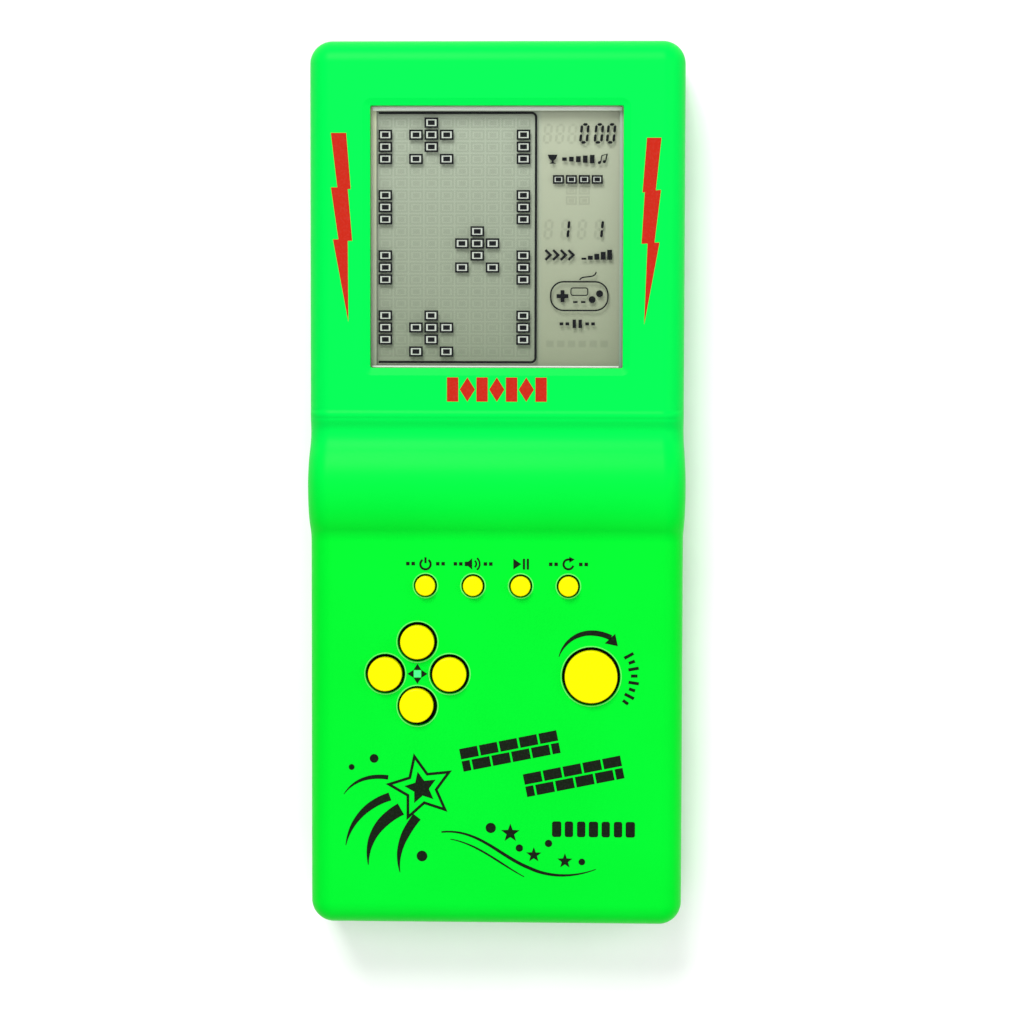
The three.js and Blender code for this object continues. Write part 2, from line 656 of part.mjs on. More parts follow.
/** One silicone mat: a sheet on the board with a hollow dome under each key. */
function keyMat() {
  const reach = ({ size }) => size.radius + FLANGE + MAT_MARGIN;
  const left = Math.min(...KEYS.map((key) => key.x - reach(key)));
  const right = Math.max(...KEYS.map((key) => key.x + reach(key)));
  const low = Math.min(...KEYS.map((key) => key.y - reach(key)));
  const high = Math.max(...KEYS.map((key) => key.y + key.size.radius + FLANGE));
  const outline = roundedOutline(right - left, high - low, 2, (left + right) / 2, (low + high) / 2);
  const base = plate(outline, boardTopZ + SHEET_GAP, boardTopZ + MAT_BASE);
  const domes = KEYS.map((key) => dome(key, false));
  const hollows = KEYS.map((key) => dome(key, true));
  return joined(base, ...domes).subtract(joined(...hollows));
}

function carbonPill(key) {
  const sides = 12;
  return column(pillRadius(key), key.x, key.y, pillBottomZ, pillBottomZ + PILL_THICKNESS, sides);
}

// ----------------------------------------------------------------------------- board

function mainBoard() {
  const half = topY - BOARD_END_MARGIN;
  const outline = roundedOutline(2 * boardHalf, 2 * half, 2, 0, 0);
  const holes = boardPlaces.map(([x, y]) =>
    column(BOARD_SCREW.radius + GAP, x, y, 0, boardTopZ + 1, 10));
  return plate(outline, boardBottomZ, boardTopZ).subtract(joined(...holes));
}

const underBoard = boardBottomZ - SHEET_GAP;

/** The bare chip's round of black resin, under the board. */
function chipBlob() {
  const { x, drop, radius, height } = CHIP;
  const section = [[0, 1], [0.52, 0.9], [0.82, 0.57], [0.97, 0.2], [1, 0], [0, 0]];
  const profile = section.map(([out, down]) => [out * radius, underBoard - down * height]);
  return turned(profile, x, rollY - drop);
}

/** An upright can capacitor, with the rolled groove near its foot. */
function canCapacitor() {
  const { x, drop, radius, height, groove } = CAN;
  const neck = radius - GAP;
  const profile = [
    [0, height], [neck, height], [radius, height - GAP], [radius, groove + GAP],
    [neck, groove], [radius, groove - GAP], [radius, 0], [0, 0],
  ].map(([out, down]) => [out, underBoard - down]);
  return turned(profile, x, rollY - drop, 16);
}

/** A dipped disc capacitor on edge. */
function discCapacitor() {
  const { x, drop, radius, thickness, hang } = DISC_CAP;
  const section = [[0, -0.5], [0.75, -0.4], [1, -0.15], [1, 0.15], [0.75, 0.4], [0, 0.5]];
  const points = section.map(([out, along]) =>
    new THREE.Vector2(out * radius, along * thickness));
  const body = new THREE.LatheGeometry(points, 16);
  return solid(body.translate(x, rollY - drop, underBoard - hang));
}

/** A resistor lying along X, its two leads bent up to the board. */
function resistor({ x, drop }) {
  const { radius, cap, half, hang, lead, reach } = RESISTOR;
  const y = rollY - drop;
  const axisZ = underBoard - hang;
  const points = [
    [0, -1], [radius, -0.97], [cap, -0.84], [radius, -0.65],
    [radius, 0.65], [cap, 0.84], [radius, 0.97], [0, 1],
  ].map(([out, along]) => new THREE.Vector2(out, along * half));
  const geometry = new THREE.LatheGeometry(points, 10).rotateZ(Math.PI / 2);
  const body = solid(geometry.translate(x, y, axisZ));
  const leads = [-1, 1].map((side) => wire(lead, [
    [x + side * (half - 2 * SHEET_GAP - lead), y, axisZ],
    [x + side * (reach - 2 * lead), y, axisZ],
    [x + side * reach, y, axisZ + 1.5 * lead],
    [x + side * reach, y, underBoard - 2 * lead],
    [x + side * reach, y, underBoard - 2 * SHEET_GAP],
  ], 6, 2));
  return joined(body, ...leads);
}

// ------------------------------------------------------------------------ fasteners

/** A pan-head screw with a cross recess, driven upwards to its seat. */
function screw({ radius, head, headHeight, length }, x, y, seatZ) {
  const lowZ = seatZ - headHeight;
  const body = turned([
    [0, lowZ],
    [0.75 * head, lowZ],
    [head, lowZ + 0.45 * headHeight],
    [head, seatZ],
    [radius, seatZ],
    [radius, seatZ + length - radius],
    [0, seatZ + length],
  ], x, y, 10);
  const arms = [[0.55 * head, RECESS_WIDTH / 2], [RECESS_WIDTH / 2, 0.55 * head]].map(([dx, dy]) =>
    block([x - dx, y - dy, lowZ - 1], [x + dx, y + dy, lowZ + RECESS_DEPTH]));
  return body.subtract(joined(...arms));
}

// ----------------------------------------------------------------------------- power

/** A cell lying along X with its raised end towards sign. */
function batteryCell(y, sign) {
  const nubEnd = plateX - GAP;
  const canEnd = nubEnd - NUB_HEIGHT;
  const low = nubEnd - CELL_LENGTH;
  const points = [
    [0, low], [CELL_RADIUS - 0.5, low], [CELL_RADIUS, low + 0.5], [CELL_RADIUS, canEnd - 0.5],
    [CELL_RADIUS - 0.5, canEnd], [NUB_RADIUS, canEnd], [NUB_RADIUS, nubEnd], [0, nubEnd],
  ].map(([radius, along]) => new THREE.Vector2(radius, along));
  const geometry = new THREE.LatheGeometry(points, 24).rotateZ(-sign * Math.PI / 2);
  return solid(geometry.translate(0, y, cellAxisZ));
}

/** A plate standing at an end of the bay, on the side that sign names. */
function contactPlate(sign, y0, y1) {
  const [x0, x1] = [plateX, plateX + CONTACT_THICKNESS].map((x) => sign * x);
  return block(
    [Math.min(x0, x1), y0, cellAxisZ - CONTACT_WIDTH / 2],
    [Math.max(x0, x1), y1, cellAxisZ + CONTACT_WIDTH / 2],
  );
}

/** A tapering coil from a plate to the flat end of a cell. */
function contactSpring(sign, y) {
  const turns = 3.5;
  const perTurn = 10;
  const start = plateX + CONTACT_THICKNESS - SPRING_WIRE - SHEET_GAP;
  const travel = SPRING_LENGTH - 2 * GAP - SPRING_WIRE;
  const points = Array.from({ length: turns * perTurn + 1 }, (_, i) => {
    const share = i / (turns * perTurn);
    const angle = share * turns * 2 * Math.PI;
    const radius = THREE.MathUtils.lerp(CONTACT_WIDTH / 2 - 2 * SPRING_WIRE, NUB_RADIUS, share);
    const along = share < 1 / turns ? 0 : (share - 1 / turns) / (1 - 1 / turns);
    const x = sign * (start - along * travel);
    return [x, y + radius * Math.cos(angle), cellAxisZ + radius * Math.sin(angle)];
  });
  return wire(SPRING_WIRE, points, turns * perTurn, 2);
}

/** The tab of a contact that reaches out of the bay to take a lead. */
function solderTab(y) {
  return block(
    [-bayHalf - BAY_WALL - 2, y - TAB_WIDTH / 2, cellAxisZ - 0.2],
    [-plateX - CONTACT_THICKNESS / 2, y + TAB_WIDTH / 2, cellAxisZ + 0.2],
  );
}

const contactHalf = CONTACT_WIDTH / 2;
const negativeContact = joined(
  contactPlate(-1, lowRow - contactHalf, lowRow + contactHalf),
  contactSpring(-1, lowRow),
  solderTab(lowRow),
);
const positiveContact = joined(
  contactPlate(-1, highRow - contactHalf, highRow + contactHalf),
  solderTab(highRow),
);
const bridgeContact = joined(
  contactPlate(1, lowRow - contactHalf, highRow + contactHalf),
  contactSpring(1, highRow),
);

/** A lead from a battery contact's tab, along the bay's end at runZ, up to the board. */
function batteryLead(tabY, runZ, padX, padY) {
  const tabX = -bayHalf - BAY_WALL - 1.4;
  const tabZ = cellAxisZ + 0.2 + GAP + LEAD;
  const topZ = boardBottomZ - GAP;
  const cornerY = bayBottomY - BAY_WALL;
  return wire(LEAD, [
    [tabX, tabY, tabZ],
    [tabX - 0.3, tabY - 2.5, (tabZ + runZ) / 2],
    [tabX - 0.2, tabY - 5, runZ],
    [tabX, cornerY + 2, runZ],
    [tabX + 0.6, cornerY - 0.9, runZ],
    [tabX + 2.2, padY, runZ + 0.2],
    [padX - 0.7, padY, (runZ + topZ) / 2],
    [padX, padY, topZ - 1],
    [padX, padY, topZ],
  ], 18, 3);
}

// ----------------------------------------------------------------------------- sound

const discZ = WALL + SOUNDER_SEAT;
const sounderDisc = column(DISC_RADIUS, 0, sounderY, discZ, discZ + DISC_THICKNESS, 24);
const ceramicZ = discZ + DISC_THICKNESS + SHEET_GAP;
const sounderCeramic = column(
  CERAMIC_RADIUS, 0, sounderY, ceramicZ, ceramicZ + DISC_THICKNESS, 18,
);

/** A lead that rises from the sounder to the board. */
function sounderLead(startX, padX) {
  const startZ = ceramicZ + DISC_THICKNESS + GAP;
  const topZ = boardBottomZ - GAP;
  return wire(LEAD, [
    [startX, sounderY, startZ],
    [startX, sounderY, startZ + 2],
    [(startX + padX) / 2, sounderY + 4, (startZ + topZ) / 2],
    [padX, sounderY + 7, topZ - 2],
    [padX, sounderY + 7, topZ],
  ], 10, 3);
}

// -------------------------------------------------------------------------- assembly

const caseGroup = assembly(
  part('front_shell', frontShell(), 'greenPlastic'),
  part('rear_shell', rearShell(), 'greenPlastic'),
  part('battery_door', batteryDoor(), 'greenPlastic'),
  ...casePlaces.map(([x, y], i) =>
    part(`case_screw_${i + 1}`, screw(CASE_SCREW, x, y, SCREW_SEAT - GAP), 'screwSteel')),
);

const display = assembly(
  part('screen_lens', screenLens(), 'clearPlastic'),
  part('lcd_polarizer', sheet(polarizerTopZ, FILM_THICKNESS), 'film'),
  part('lcd_front_glass', sheet(frontGlassTopZ, GLASS_THICKNESS, CONTACT_LEDGE), 'displayGlass'),
  part('lcd_rear_glass', sheet(rearGlassTopZ, GLASS_THICKNESS), 'displayGlass'),
  part('lcd_reflector', sheet(reflectorTopZ, FILM_THICKNESS), 'reflector'),
  part('zebra_strip', zebraStrip(), 'blackRubber'),
);

const keys = assembly(
  ...KEYS.map((key) => part(`key_${key.name}`, keyCap(key), 'yellowPlastic')),
  ...KEYS.map((key) => part(`pill_${key.name}`, carbonPill(key), 'carbon')),
  part('key_mat', keyMat(), 'silicone'),
);

const board = assembly(
  part('main_board', mainBoard(), 'boardLaminate'),
  part('chip_blob', chipBlob(), 'epoxy'),
  part('can_capacitor', canCapacitor(), 'capacitorSleeve'),
  part('disc_capacitor', discCapacitor(), 'ceramicCapacitor'),
  ...RESISTORS.map((place, i) =>
    part(`resistor_${i + 1}`, resistor(place), 'resistorBody')),
  ...boardPlaces.map(([x, y], i) =>
    part(`board_screw_${i + 1}`, screw(BOARD_SCREW, x, y, boardBottomZ - GAP), 'screwSteel')),
);

const power = assembly(
  part('battery_1', batteryCell(lowRow, 1), 'cellLabel'),
  part('battery_2', batteryCell(highRow, -1), 'cellLabel'),
  part('contact_negative', negativeContact, 'springSteel'),
  part('contact_positive', positiveContact, 'springSteel'),
  part('contact_bridge', bridgeContact, 'springSteel'),
  part('lead_positive',
    batteryLead(highRow, boardBottomZ - 2.2, padRowX, padRowY - 1.8), 'redLead'),
  part('lead_negative',
    batteryLead(lowRow, cellAxisZ + 2.8, padRowX + PAD_PITCH, padRowY), 'blackLead'),
);

const sound = assembly(
  part('sounder_disc', sounderDisc, 'brass'),
  part('sounder_ceramic', sounderCeramic, 'ceramic'),
  part('sounder_lead_1', sounderLead(-4, -6), 'redLead'),
  part('sounder_lead_2', sounderLead(4, 6), 'blackLead'),
);

const game = assembly(caseGroup, display, keys, board, power, sound);
export default game;
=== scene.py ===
"""Looks of a handheld LCD brick game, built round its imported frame.

The game lies on its back: +Z is out of the face and +Y runs up the face towards the screen.
Lengths are millimetres until a form becomes a mesh, which turns them into metres.
"""

import json
import logging
import math
from dataclasses import dataclass, field
from enum import Enum
from typing import Callable, Iterable, Sequence

import bmesh
import bpy
from mathutils import Matrix, Vector


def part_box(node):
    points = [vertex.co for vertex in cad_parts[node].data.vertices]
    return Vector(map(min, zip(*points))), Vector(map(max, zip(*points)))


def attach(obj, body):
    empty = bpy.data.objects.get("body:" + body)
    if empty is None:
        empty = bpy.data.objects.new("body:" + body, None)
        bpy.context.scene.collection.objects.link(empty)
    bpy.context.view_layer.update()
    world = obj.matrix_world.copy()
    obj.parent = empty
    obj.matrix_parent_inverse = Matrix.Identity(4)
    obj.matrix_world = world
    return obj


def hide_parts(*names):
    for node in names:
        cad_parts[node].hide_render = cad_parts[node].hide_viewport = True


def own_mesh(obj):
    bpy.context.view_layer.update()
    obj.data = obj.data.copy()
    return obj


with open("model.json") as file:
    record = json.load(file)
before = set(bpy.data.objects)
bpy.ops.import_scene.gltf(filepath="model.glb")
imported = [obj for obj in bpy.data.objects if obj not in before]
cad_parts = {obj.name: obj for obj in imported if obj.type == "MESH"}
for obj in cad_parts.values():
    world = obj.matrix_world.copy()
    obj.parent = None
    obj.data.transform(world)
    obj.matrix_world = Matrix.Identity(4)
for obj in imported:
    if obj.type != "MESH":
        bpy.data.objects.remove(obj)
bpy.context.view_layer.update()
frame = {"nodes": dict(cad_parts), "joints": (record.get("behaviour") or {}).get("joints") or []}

LOG = logging.getLogger("handheld_game")
MM = 0.001
GAP = 0.3  # between pieces that rest on or pass each other
WALL = 2.0  # of the case

Point = tuple[float, float, float]
Flat = tuple[float, float]
Colour = tuple[float, float, float]
Socket = bpy.types.NodeSocket


def box_mm(node: str) -> tuple[Vector, Vector]:
    """Lowest and highest corners of a CAD node in millimetres."""
    low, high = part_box(node)
    return low / MM, high / MM


def middle_of(node: str) -> Flat:
    """Centre of a CAD node in the face's plane."""
    low, high = box_mm(node)
    return (low.x + high.x) / 2, (low.y + high.y) / 2


def colour(red: float, green: float, blue: float) -> Colour:
    """A screen colour, 0 to 255, as the linear colour that shaders use.

    Args:
        red: Red share, 0 to 255.
        green: Green share, 0 to 255.
        blue: Blue share, 0 to 255.

    Returns:
        The three linear values.
    """

    def linear(share: float) -> float:
        """One value of the screen's curve made linear."""
        value = share / 255
        return value / 12.92 if value <= 0.04045 else ((value + 0.055) / 1.055) ** 2.4

    return linear(red), linear(green), linear(blue)


# ------------------------------------------------------------------------------ forms


@dataclass
class Form:
    """A closed surface in millimetres, or several: its corners and its faces."""

    corners: list[Point] = field(default_factory=list)
    faces: list[tuple[int, ...]] = field(default_factory=list)

    def add(self, *others: "Form") -> "Form":
        """Takes in other forms' faces.

        Args:
            others: The forms to take in.

        Returns:
            This form.
        """
        for other in others:
            first = len(self.corners)
            self.corners.extend(other.corners)
            self.faces.extend(tuple(first + i for i in face) for face in other.faces)
        return self

    def moved(self, move: Matrix) -> "Form":
        """A copy of this form under a matrix in millimetres."""
        return Form([tuple(move @ Vector(corner)) for corner in self.corners], list(self.faces))

    def piece(self, name: str) -> bpy.types.Object:
        """Makes a Blender object of this form, its faces pointing out.

        Args:
            name: Name of the object.

        Returns:
            The object, with its place in its mesh.
        """
        mesh = bpy.data.meshes.new(name)
        mesh.from_pydata([tuple(MM * x for x in corner) for corner in self.corners], [], self.faces)
        work = bmesh.new()
        work.from_mesh(mesh)
        bmesh.ops.remove_doubles(work, verts=work.verts, dist=1e-6)
        bmesh.ops.dissolve_degenerate(work, edges=work.edges, dist=1e-7)
        bmesh.ops.recalc_face_normals(work, faces=work.faces)
        work.to_mesh(mesh)
        work.free()
        made = bpy.data.objects.new(name, mesh)
        bpy.context.scene.collection.objects.link(made)
        return made


def forms(parts: Iterable[Form]) -> Form:
    """Several forms as one."""
    return Form().add(*parts)


def block(low: Point, high: Point) -> Form:
    """A box between two corners."""
    corners = [(x, y, z) for z in (low[2], high[2]) for y in (low[1], high[1]) for x in (low[0], high[0])]
    faces = [(0, 1, 3, 2), (4, 5, 7, 6), (0, 1, 5, 4), (2, 3, 7, 6), (0, 2, 6, 4), (1, 3, 7, 5)]
    return Form(corners, faces)


def loft(rings: Sequence[Sequence[Point]], closed: bool = False) -> Form:
    """A skin through rings of equal length.

    Args:
        rings: The rings, each closed on itself.
        closed: Joins the last ring to the first instead of capping both.

    Returns:
        The closed form.
    """
    count = len(rings[0])
    corners = [tuple(corner) for ring in rings for corner in ring]
    faces = []
    spans = len(rings) if closed else len(rings) - 1
    for j in range(spans):
        first, second = j * count, ((j + 1) % len(rings)) * count
        for i in range(count):
            k = (i + 1) % count
            faces.append((first + i, first + k, second + k, second + i))
    if not closed:
        faces.append(tuple(range(count)))
        faces.append(tuple(range((len(rings) - 1) * count, len(rings) * count)))
    return Form(corners, faces)


def lathe(profile: Sequence[Flat], x: float, y: float, steps: int = 48) -> Form:
    """A form turned about the upright line at x, y.

    Args:
        profile: Points of radius and height. It starts and ends on the axis, or closes on itself.
        x: Place of the axis.
        y: Place of the axis.
        steps: Sides of the form.

    Returns:
        The closed form.
    """
    on_axis = profile[0][0] == 0
    angles = [2 * math.pi * i / steps for i in range(steps)]
    rings = [[(x + r * math.cos(a), y + r * math.sin(a), z) for a in angles] for r, z in profile]
    return loft(rings, closed=not on_axis)


def pillar(x: float, y: float, radius: float, low: float, high: float, steps: int = 24) -> Form:
    """An upright round bar."""
    return lathe([(0, low), (radius, low), (radius, high), (0, high)], x, y, steps)


def prism(outline: Sequence[Flat], low: float, high: float) -> Form:
    """An outline in the face's plane pulled up from low to high."""
    return loft([[(x, y, z) for x, y in outline] for z in (low, high)])


def band(outer: Sequence[Flat], inner: Sequence[Flat], low: float, high: float) -> Form:
    """A frame between two outlines of equal length, from low to high."""
    return loft([
        [(x, y, z) for x, y in outline]
        for outline, z in ((outer, low), (outer, high), (inner, high), (inner, low))
    ], closed=True)


def arc(centre: Flat, radius: float, start: float, end: float, steps: int) -> list[Flat]:
    """Points along an arc, its angles in degrees."""
    angles = [math.radians(start + (end - start) * i / steps) for i in range(steps + 1)]
    return [(centre[0] + radius * math.cos(a), centre[1] + radius * math.sin(a)) for a in angles]


def oblong(x: float, y: float, width: float, height: float) -> list[Flat]:
    """A rectangle centred on x, y."""
    across, up = width / 2, height / 2
    return [(x - across, y - up), (x + across, y - up), (x + across, y + up), (x - across, y + up)]


def rounded(width: float, height: float, radius: float, x: float, y: float, steps: int = 8) -> list[Flat]:
    """A rectangle with round corners, centred on x, y."""
    across, up = width / 2 - radius, height / 2 - radius
    corners = ((across, up, 0), (-across, up, 90), (-across, -up, 180), (across, -up, 270))
    return [
        point
        for dx, dy, start in corners
        for point in arc((x + dx, y + dy), radius, start, start + 90, steps)
    ]


def bezier(points: Sequence[Flat], steps: int) -> list[Flat]:
    """Points along a Bezier curve, without its first one."""

    def between(row: Sequence[Flat], share: float) -> Flat:
        """The curve's point at a share of its length."""
        while len(row) > 1:
            row = [
                (a[0] + (b[0] - a[0]) * share, a[1] + (b[1] - a[1]) * share)
                for a, b in zip(row, row[1:])
            ]
        return row[0]

    return [between(points, (i + 1) / steps) for i in range(steps)]


def ribbon(
    line: Sequence[Flat], widths: Sequence[float], low: float, high: float, loop: bool = False,
) -> Form:
    """A flat stroke along a line.

    Args:
        line: Points of the stroke's middle.
        widths: One width for the whole stroke, or its widths at even steps from start to end.
        low: Height of the underside.
        high: Height of the top.
        loop: Joins the end to the start.

    Returns:
        The closed form.
    """
    count = len(line)
    sides: tuple[list[Flat], list[Flat]] = ([], [])
    for i, (x, y) in enumerate(line):
        before = line[i - 1] if i or loop else line[i]
        after = line[(i + 1) % count] if loop else line[min(i + 1, count - 1)]
        along = Vector((after[0] - before[0], after[1] - before[1])).normalized()
        place = i / max(count - 1, 1) * (len(widths) - 1)
        left, share = int(place), place - int(place)
        right = min(left + 1, len(widths) - 1)
        half = (widths[left] * (1 - share) + widths[right] * share) / 2
        here, there = (x - line[i - 1][0], y - line[i - 1][1]), (after[0] - x, after[1] - y)
        if i or loop:
            bend = abs(Vector(here).angle(Vector(there), 0)) if any(there) and any(here) else 0
            half /= max(math.cos(bend / 2), 0.4)
        sides[0].append((x - along.y * half, y + along.x * half))
        sides[1].append((x + along.y * half, y - along.x * half))
    if loop:
        return band(sides[0], sides[1], low, high)
    rings = [
        [(a[0], a[1], low), (a[0], a[1], high), (b[0], b[1], high), (b[0], b[1], low)]
        for a, b in zip(*sides)
    ]
    return loft(rings)


def tube(line: Sequence[Point], radius: float, sides: int = 10) -> Form:
    """A round wire along a line of points."""
    rings = []
    normal = Vector((0.0, 0.0, 1.0))
    for i, point in enumerate(line):
        along = (Vector(line[min(i + 1, len(line) - 1)]) - Vector(line[max(i - 1, 0)])).normalized()
        normal = (normal - along * normal.dot(along)).normalized()
        across = along.cross(normal)
        angles = [2 * math.pi * k / sides for k in range(sides)]
        rings.append([
            tuple(Vector(point) + (normal * math.cos(a) + across * math.sin(a)) * radius)
            for a in angles
        ])
    return loft(rings)


def star(x: float, y: float, radius: float, inner: float, tilt: float = 0) -> list[Flat]:
    """The outline of a five-pointed star."""
    turns = [math.radians(90 + tilt + 36 * i) for i in range(10)]
    reaches = [radius, inner] * 5
    return [
        (x + reach * math.cos(turn), y + reach * math.sin(turn)) for reach, turn in zip(reaches, turns)
    ]


def turned_flat(points: Sequence[Flat], centre: Flat, degrees: float) -> list[Flat]:
    """Flat points turned about a centre."""
    c, s = math.cos(math.radians(degrees)), math.sin(math.radians(degrees))
    offsets = [(x - centre[0], y - centre[1]) for x, y in points]
    return [(centre[0] + dx * c - dy * s, centre[1] + dx * s + dy * c) for dx, dy in offsets]


class Carve(Enum):
    """How one form changes another."""

    AWAY = "DIFFERENCE"
    ON = "UNION"


def form_of(piece: bpy.types.Object) -> Form:
    """A piece's shape as a form again; the piece itself goes."""
    mesh = piece.data
    made = Form(
        [tuple(corner.co / MM) for corner in mesh.vertices],
        [tuple(polygon.vertices) for polygon in mesh.polygons],
    )
    bpy.data.objects.remove(piece)
    return made


def settle(piece: bpy.types.Object) -> None:
    """Turns a piece's modifiers into its mesh."""
    graph = bpy.context.evaluated_depsgraph_get()
    mesh = bpy.data.meshes.new_from_object(piece.evaluated_get(graph))
    piece.modifiers.clear()
    piece.data = mesh


def carve(piece: bpy.types.Object, tool: Form, how: Carve) -> None:
    """Cuts a form out of a piece, or joins it on.

    Args:
        piece: The piece that changes.
        tool: The form that cuts or is joined on.
        how: Which of the two.
    """
    helper = tool.piece("carving_tool")
    change = piece.modifiers.new("carve", "BOOLEAN")
    change.operation = how.value
    change.solver = "EXACT"
    change.object = helper
    settle(piece)
    bpy.data.objects.remove(helper)


def shade(piece: bpy.types.Object, angle: float = 32) -> None:
    """Shades a piece smooth up to an angle, with its broad faces kept flat."""
    for polygon in piece.data.polygons:
        polygon.use_smooth = True
    piece.data.set_sharp_from_angle(angle=math.radians(angle))
    weigh = piece.modifiers.new("flat_faces", "WEIGHTED_NORMAL")
    weigh.keep_sharp = True
    settle(piece)


# --------------------------------------------------------------------------- finishes


class Nodes:
    """A short way to add and link the nodes of one material or group."""

    def __init__(self, tree: bpy.types.NodeTree) -> None:
        """Keeps the tree that the nodes go into."""
        self.tree = tree

    def add(self, kind: str, inputs: dict | None = None, **settings: object) -> bpy.types.Node:
        """Adds a node.

        Args:
            kind: The node's Blender type.
            inputs: Values or sockets for its inputs, by name or number.
            settings: The node's own settings.

        Returns:
            The node.
        """
        node = self.tree.nodes.new(kind)
        for name, value in settings.items():
            setattr(node, name, value)
        self.plug(node, inputs or {})
        return node

    def plug(self, node: bpy.types.Node, inputs: dict) -> None:
        """Gives a node's inputs, by name or number, their values or sockets."""
        for name, value in inputs.items():
            if isinstance(value, Socket):
                self.tree.links.new(value, node.inputs[name])
            else:
                node.inputs[name].default_value = value

    def place(self) -> dict[str, Socket]:
        """The coordinates X, Y and Z of a point on the piece."""
        where = self.add("ShaderNodeTexCoord").outputs["Object"]
        return dict(self.add("ShaderNodeSeparateXYZ", {0: where}).outputs.items())

    def group(self, tree: bpy.types.NodeTree, **inputs: float) -> bpy.types.Node:
        """A shared group with its inputs set."""
        return self.add("ShaderNodeGroup", inputs, node_tree=tree)

    def ramp(self, factor: Socket, stops: Sequence[tuple[float, Colour]]) -> Socket:
        """Colours along a factor.

        Args:
            factor: Where to read the ramp.
            stops: Place and linear colour of each stop.

        Returns:
            The colour socket.
        """
        node = self.add("ShaderNodeValToRGB", {0: factor})
        elements = node.color_ramp.elements
        while len(elements) < len(stops):
            elements.new(0.5)
        for element, (place, tone) in zip(elements, stops):
            element.position = place
            element.color = (*tone, 1)
        return node.outputs["Color"]

    def mixed(self, factor: object, first: object, second: object, how: str = "MIX") -> Socket:
        """Two colours mixed by a factor."""
        first, second = (tone if isinstance(tone, Socket) else (*tone, 1) for tone in (first, second))
        inputs = {0: factor, 6: first, 7: second}
        return self.add("ShaderNodeMix", inputs, data_type="RGBA", blend_type=how).outputs[2]

    def math(self, how: str, *values: float | Socket) -> Socket:
        """The result of one sum."""
        return self.add("ShaderNodeMath", dict(enumerate(values)), operation=how).outputs[0]

    def noise(self, place: Socket, scale: float | Socket, detail: float) -> Socket:
        """The value of a noise at a place."""
        inputs = {"Vector": place, "Scale": scale, "Detail": detail}
        return self.add("ShaderNodeTexNoise", inputs).outputs[0]

    def spread(self, value: Socket, low: float, high: float, start: float, end: float) -> Socket:
        """A value's range from low to high spread from start to end."""
        inputs = dict(enumerate((value, low, high, start, end)))
        return self.add("ShaderNodeMapRange", inputs).outputs[0]


Filling = Callable[[Nodes, Sequence[Socket]], Sequence[Socket]]


class Groups:
    """Node groups that several finishes share, each built once."""

    _made: dict[str, bpy.types.NodeTree] = {}

    @classmethod
    def built(
        cls, name: str, given: dict[str, float], results: Sequence[str], fill: Filling,
    ) -> bpy.types.NodeTree:
        """Finds a group, or builds it.

        Args:
            name: Name of the group.
            given: Its inputs and their usual values.
            results: Its outputs.
            fill: Adds its nodes between its input sockets and its output sockets.

        Returns:
            The group.
        """
        if name not in cls._made:
            tree = bpy.data.node_groups.new(name, "ShaderNodeTree")
            for label, value in given.items():
                socket = tree.interface.new_socket(label, in_out="INPUT", socket_type="NodeSocketFloat")
                socket.default_value = value
            for label in results:
                tree.interface.new_socket(label, in_out="OUTPUT", socket_type="NodeSocketFloat")
            nodes = Nodes(tree)
            made = fill(nodes, nodes.add("NodeGroupInput").outputs)
            nodes.add("NodeGroupOutput", dict(enumerate(made)))
            cls._made[name] = tree
        return cls._made[name]

    @classmethod
    def grain(cls) -> bpy.types.NodeTree:
        """Fine moulded grain with broad unevenness."""

        def fill(nodes: Nodes, given: Sequence[Socket]) -> Sequence[Socket]:
            """Adds two noises, and pores over the finer one."""
            place = nodes.add("ShaderNodeTexCoord").outputs["Object"]
            fine, broad = nodes.noise(place, given[0], 2.0), nodes.noise(place, 45.0, 4.0)
            pores = nodes.add("ShaderNodeTexVoronoi", {"Vector": place, "Scale": given[0]}).outputs[0]
            return nodes.math("ADD", fine, pores), fine, broad

        return cls.built("moulded_grain", {"Scale": 4000}, ("Height", "Fine", "Broad"), fill)

    @classmethod
    def scuffs(cls) -> bpy.types.NodeTree:
        """Fine straight scratches and dust."""

        def fill(nodes: Nodes, given: Sequence[Socket]) -> Sequence[Socket]:
            """Adds a stretched noise broken up by spots."""
            place = nodes.add("ShaderNodeTexCoord").outputs["Object"]
            stretched = nodes.add("ShaderNodeMapping", {0: place, 3: (300.0, 9000.0, 300.0)}).outputs[0]
            lines, spots = nodes.noise(stretched, 1.0, 3.0), nodes.noise(place, 700.0, 2.0)
            both = nodes.spread(nodes.math("MULTIPLY", lines, spots), 0.3, 0.55, 0, 1)
            return (nodes.math("MULTIPLY", both, given[0]),)

        return cls.built("fine_scuffs", {"Amount": 0.5}, ("Mask",), fill)


class Surface:
    """A named material that is built when it is first asked for."""

    name: str

    def material(self) -> bpy.types.Material:
        """Finds the material, or builds it.

        Returns:
            The material.
        """
        if self.name in bpy.data.materials:
            return bpy.data.materials[self.name]
        made = bpy.data.materials.new(self.name)
        made.use_nodes = True
        self.fill(Nodes(made.node_tree), made.node_tree.nodes["Principled BSDF"])
        return made

    def fill(self, nodes: Nodes, shader: bpy.types.Node) -> None:
        """Sets up the shader."""
        raise NotImplementedError


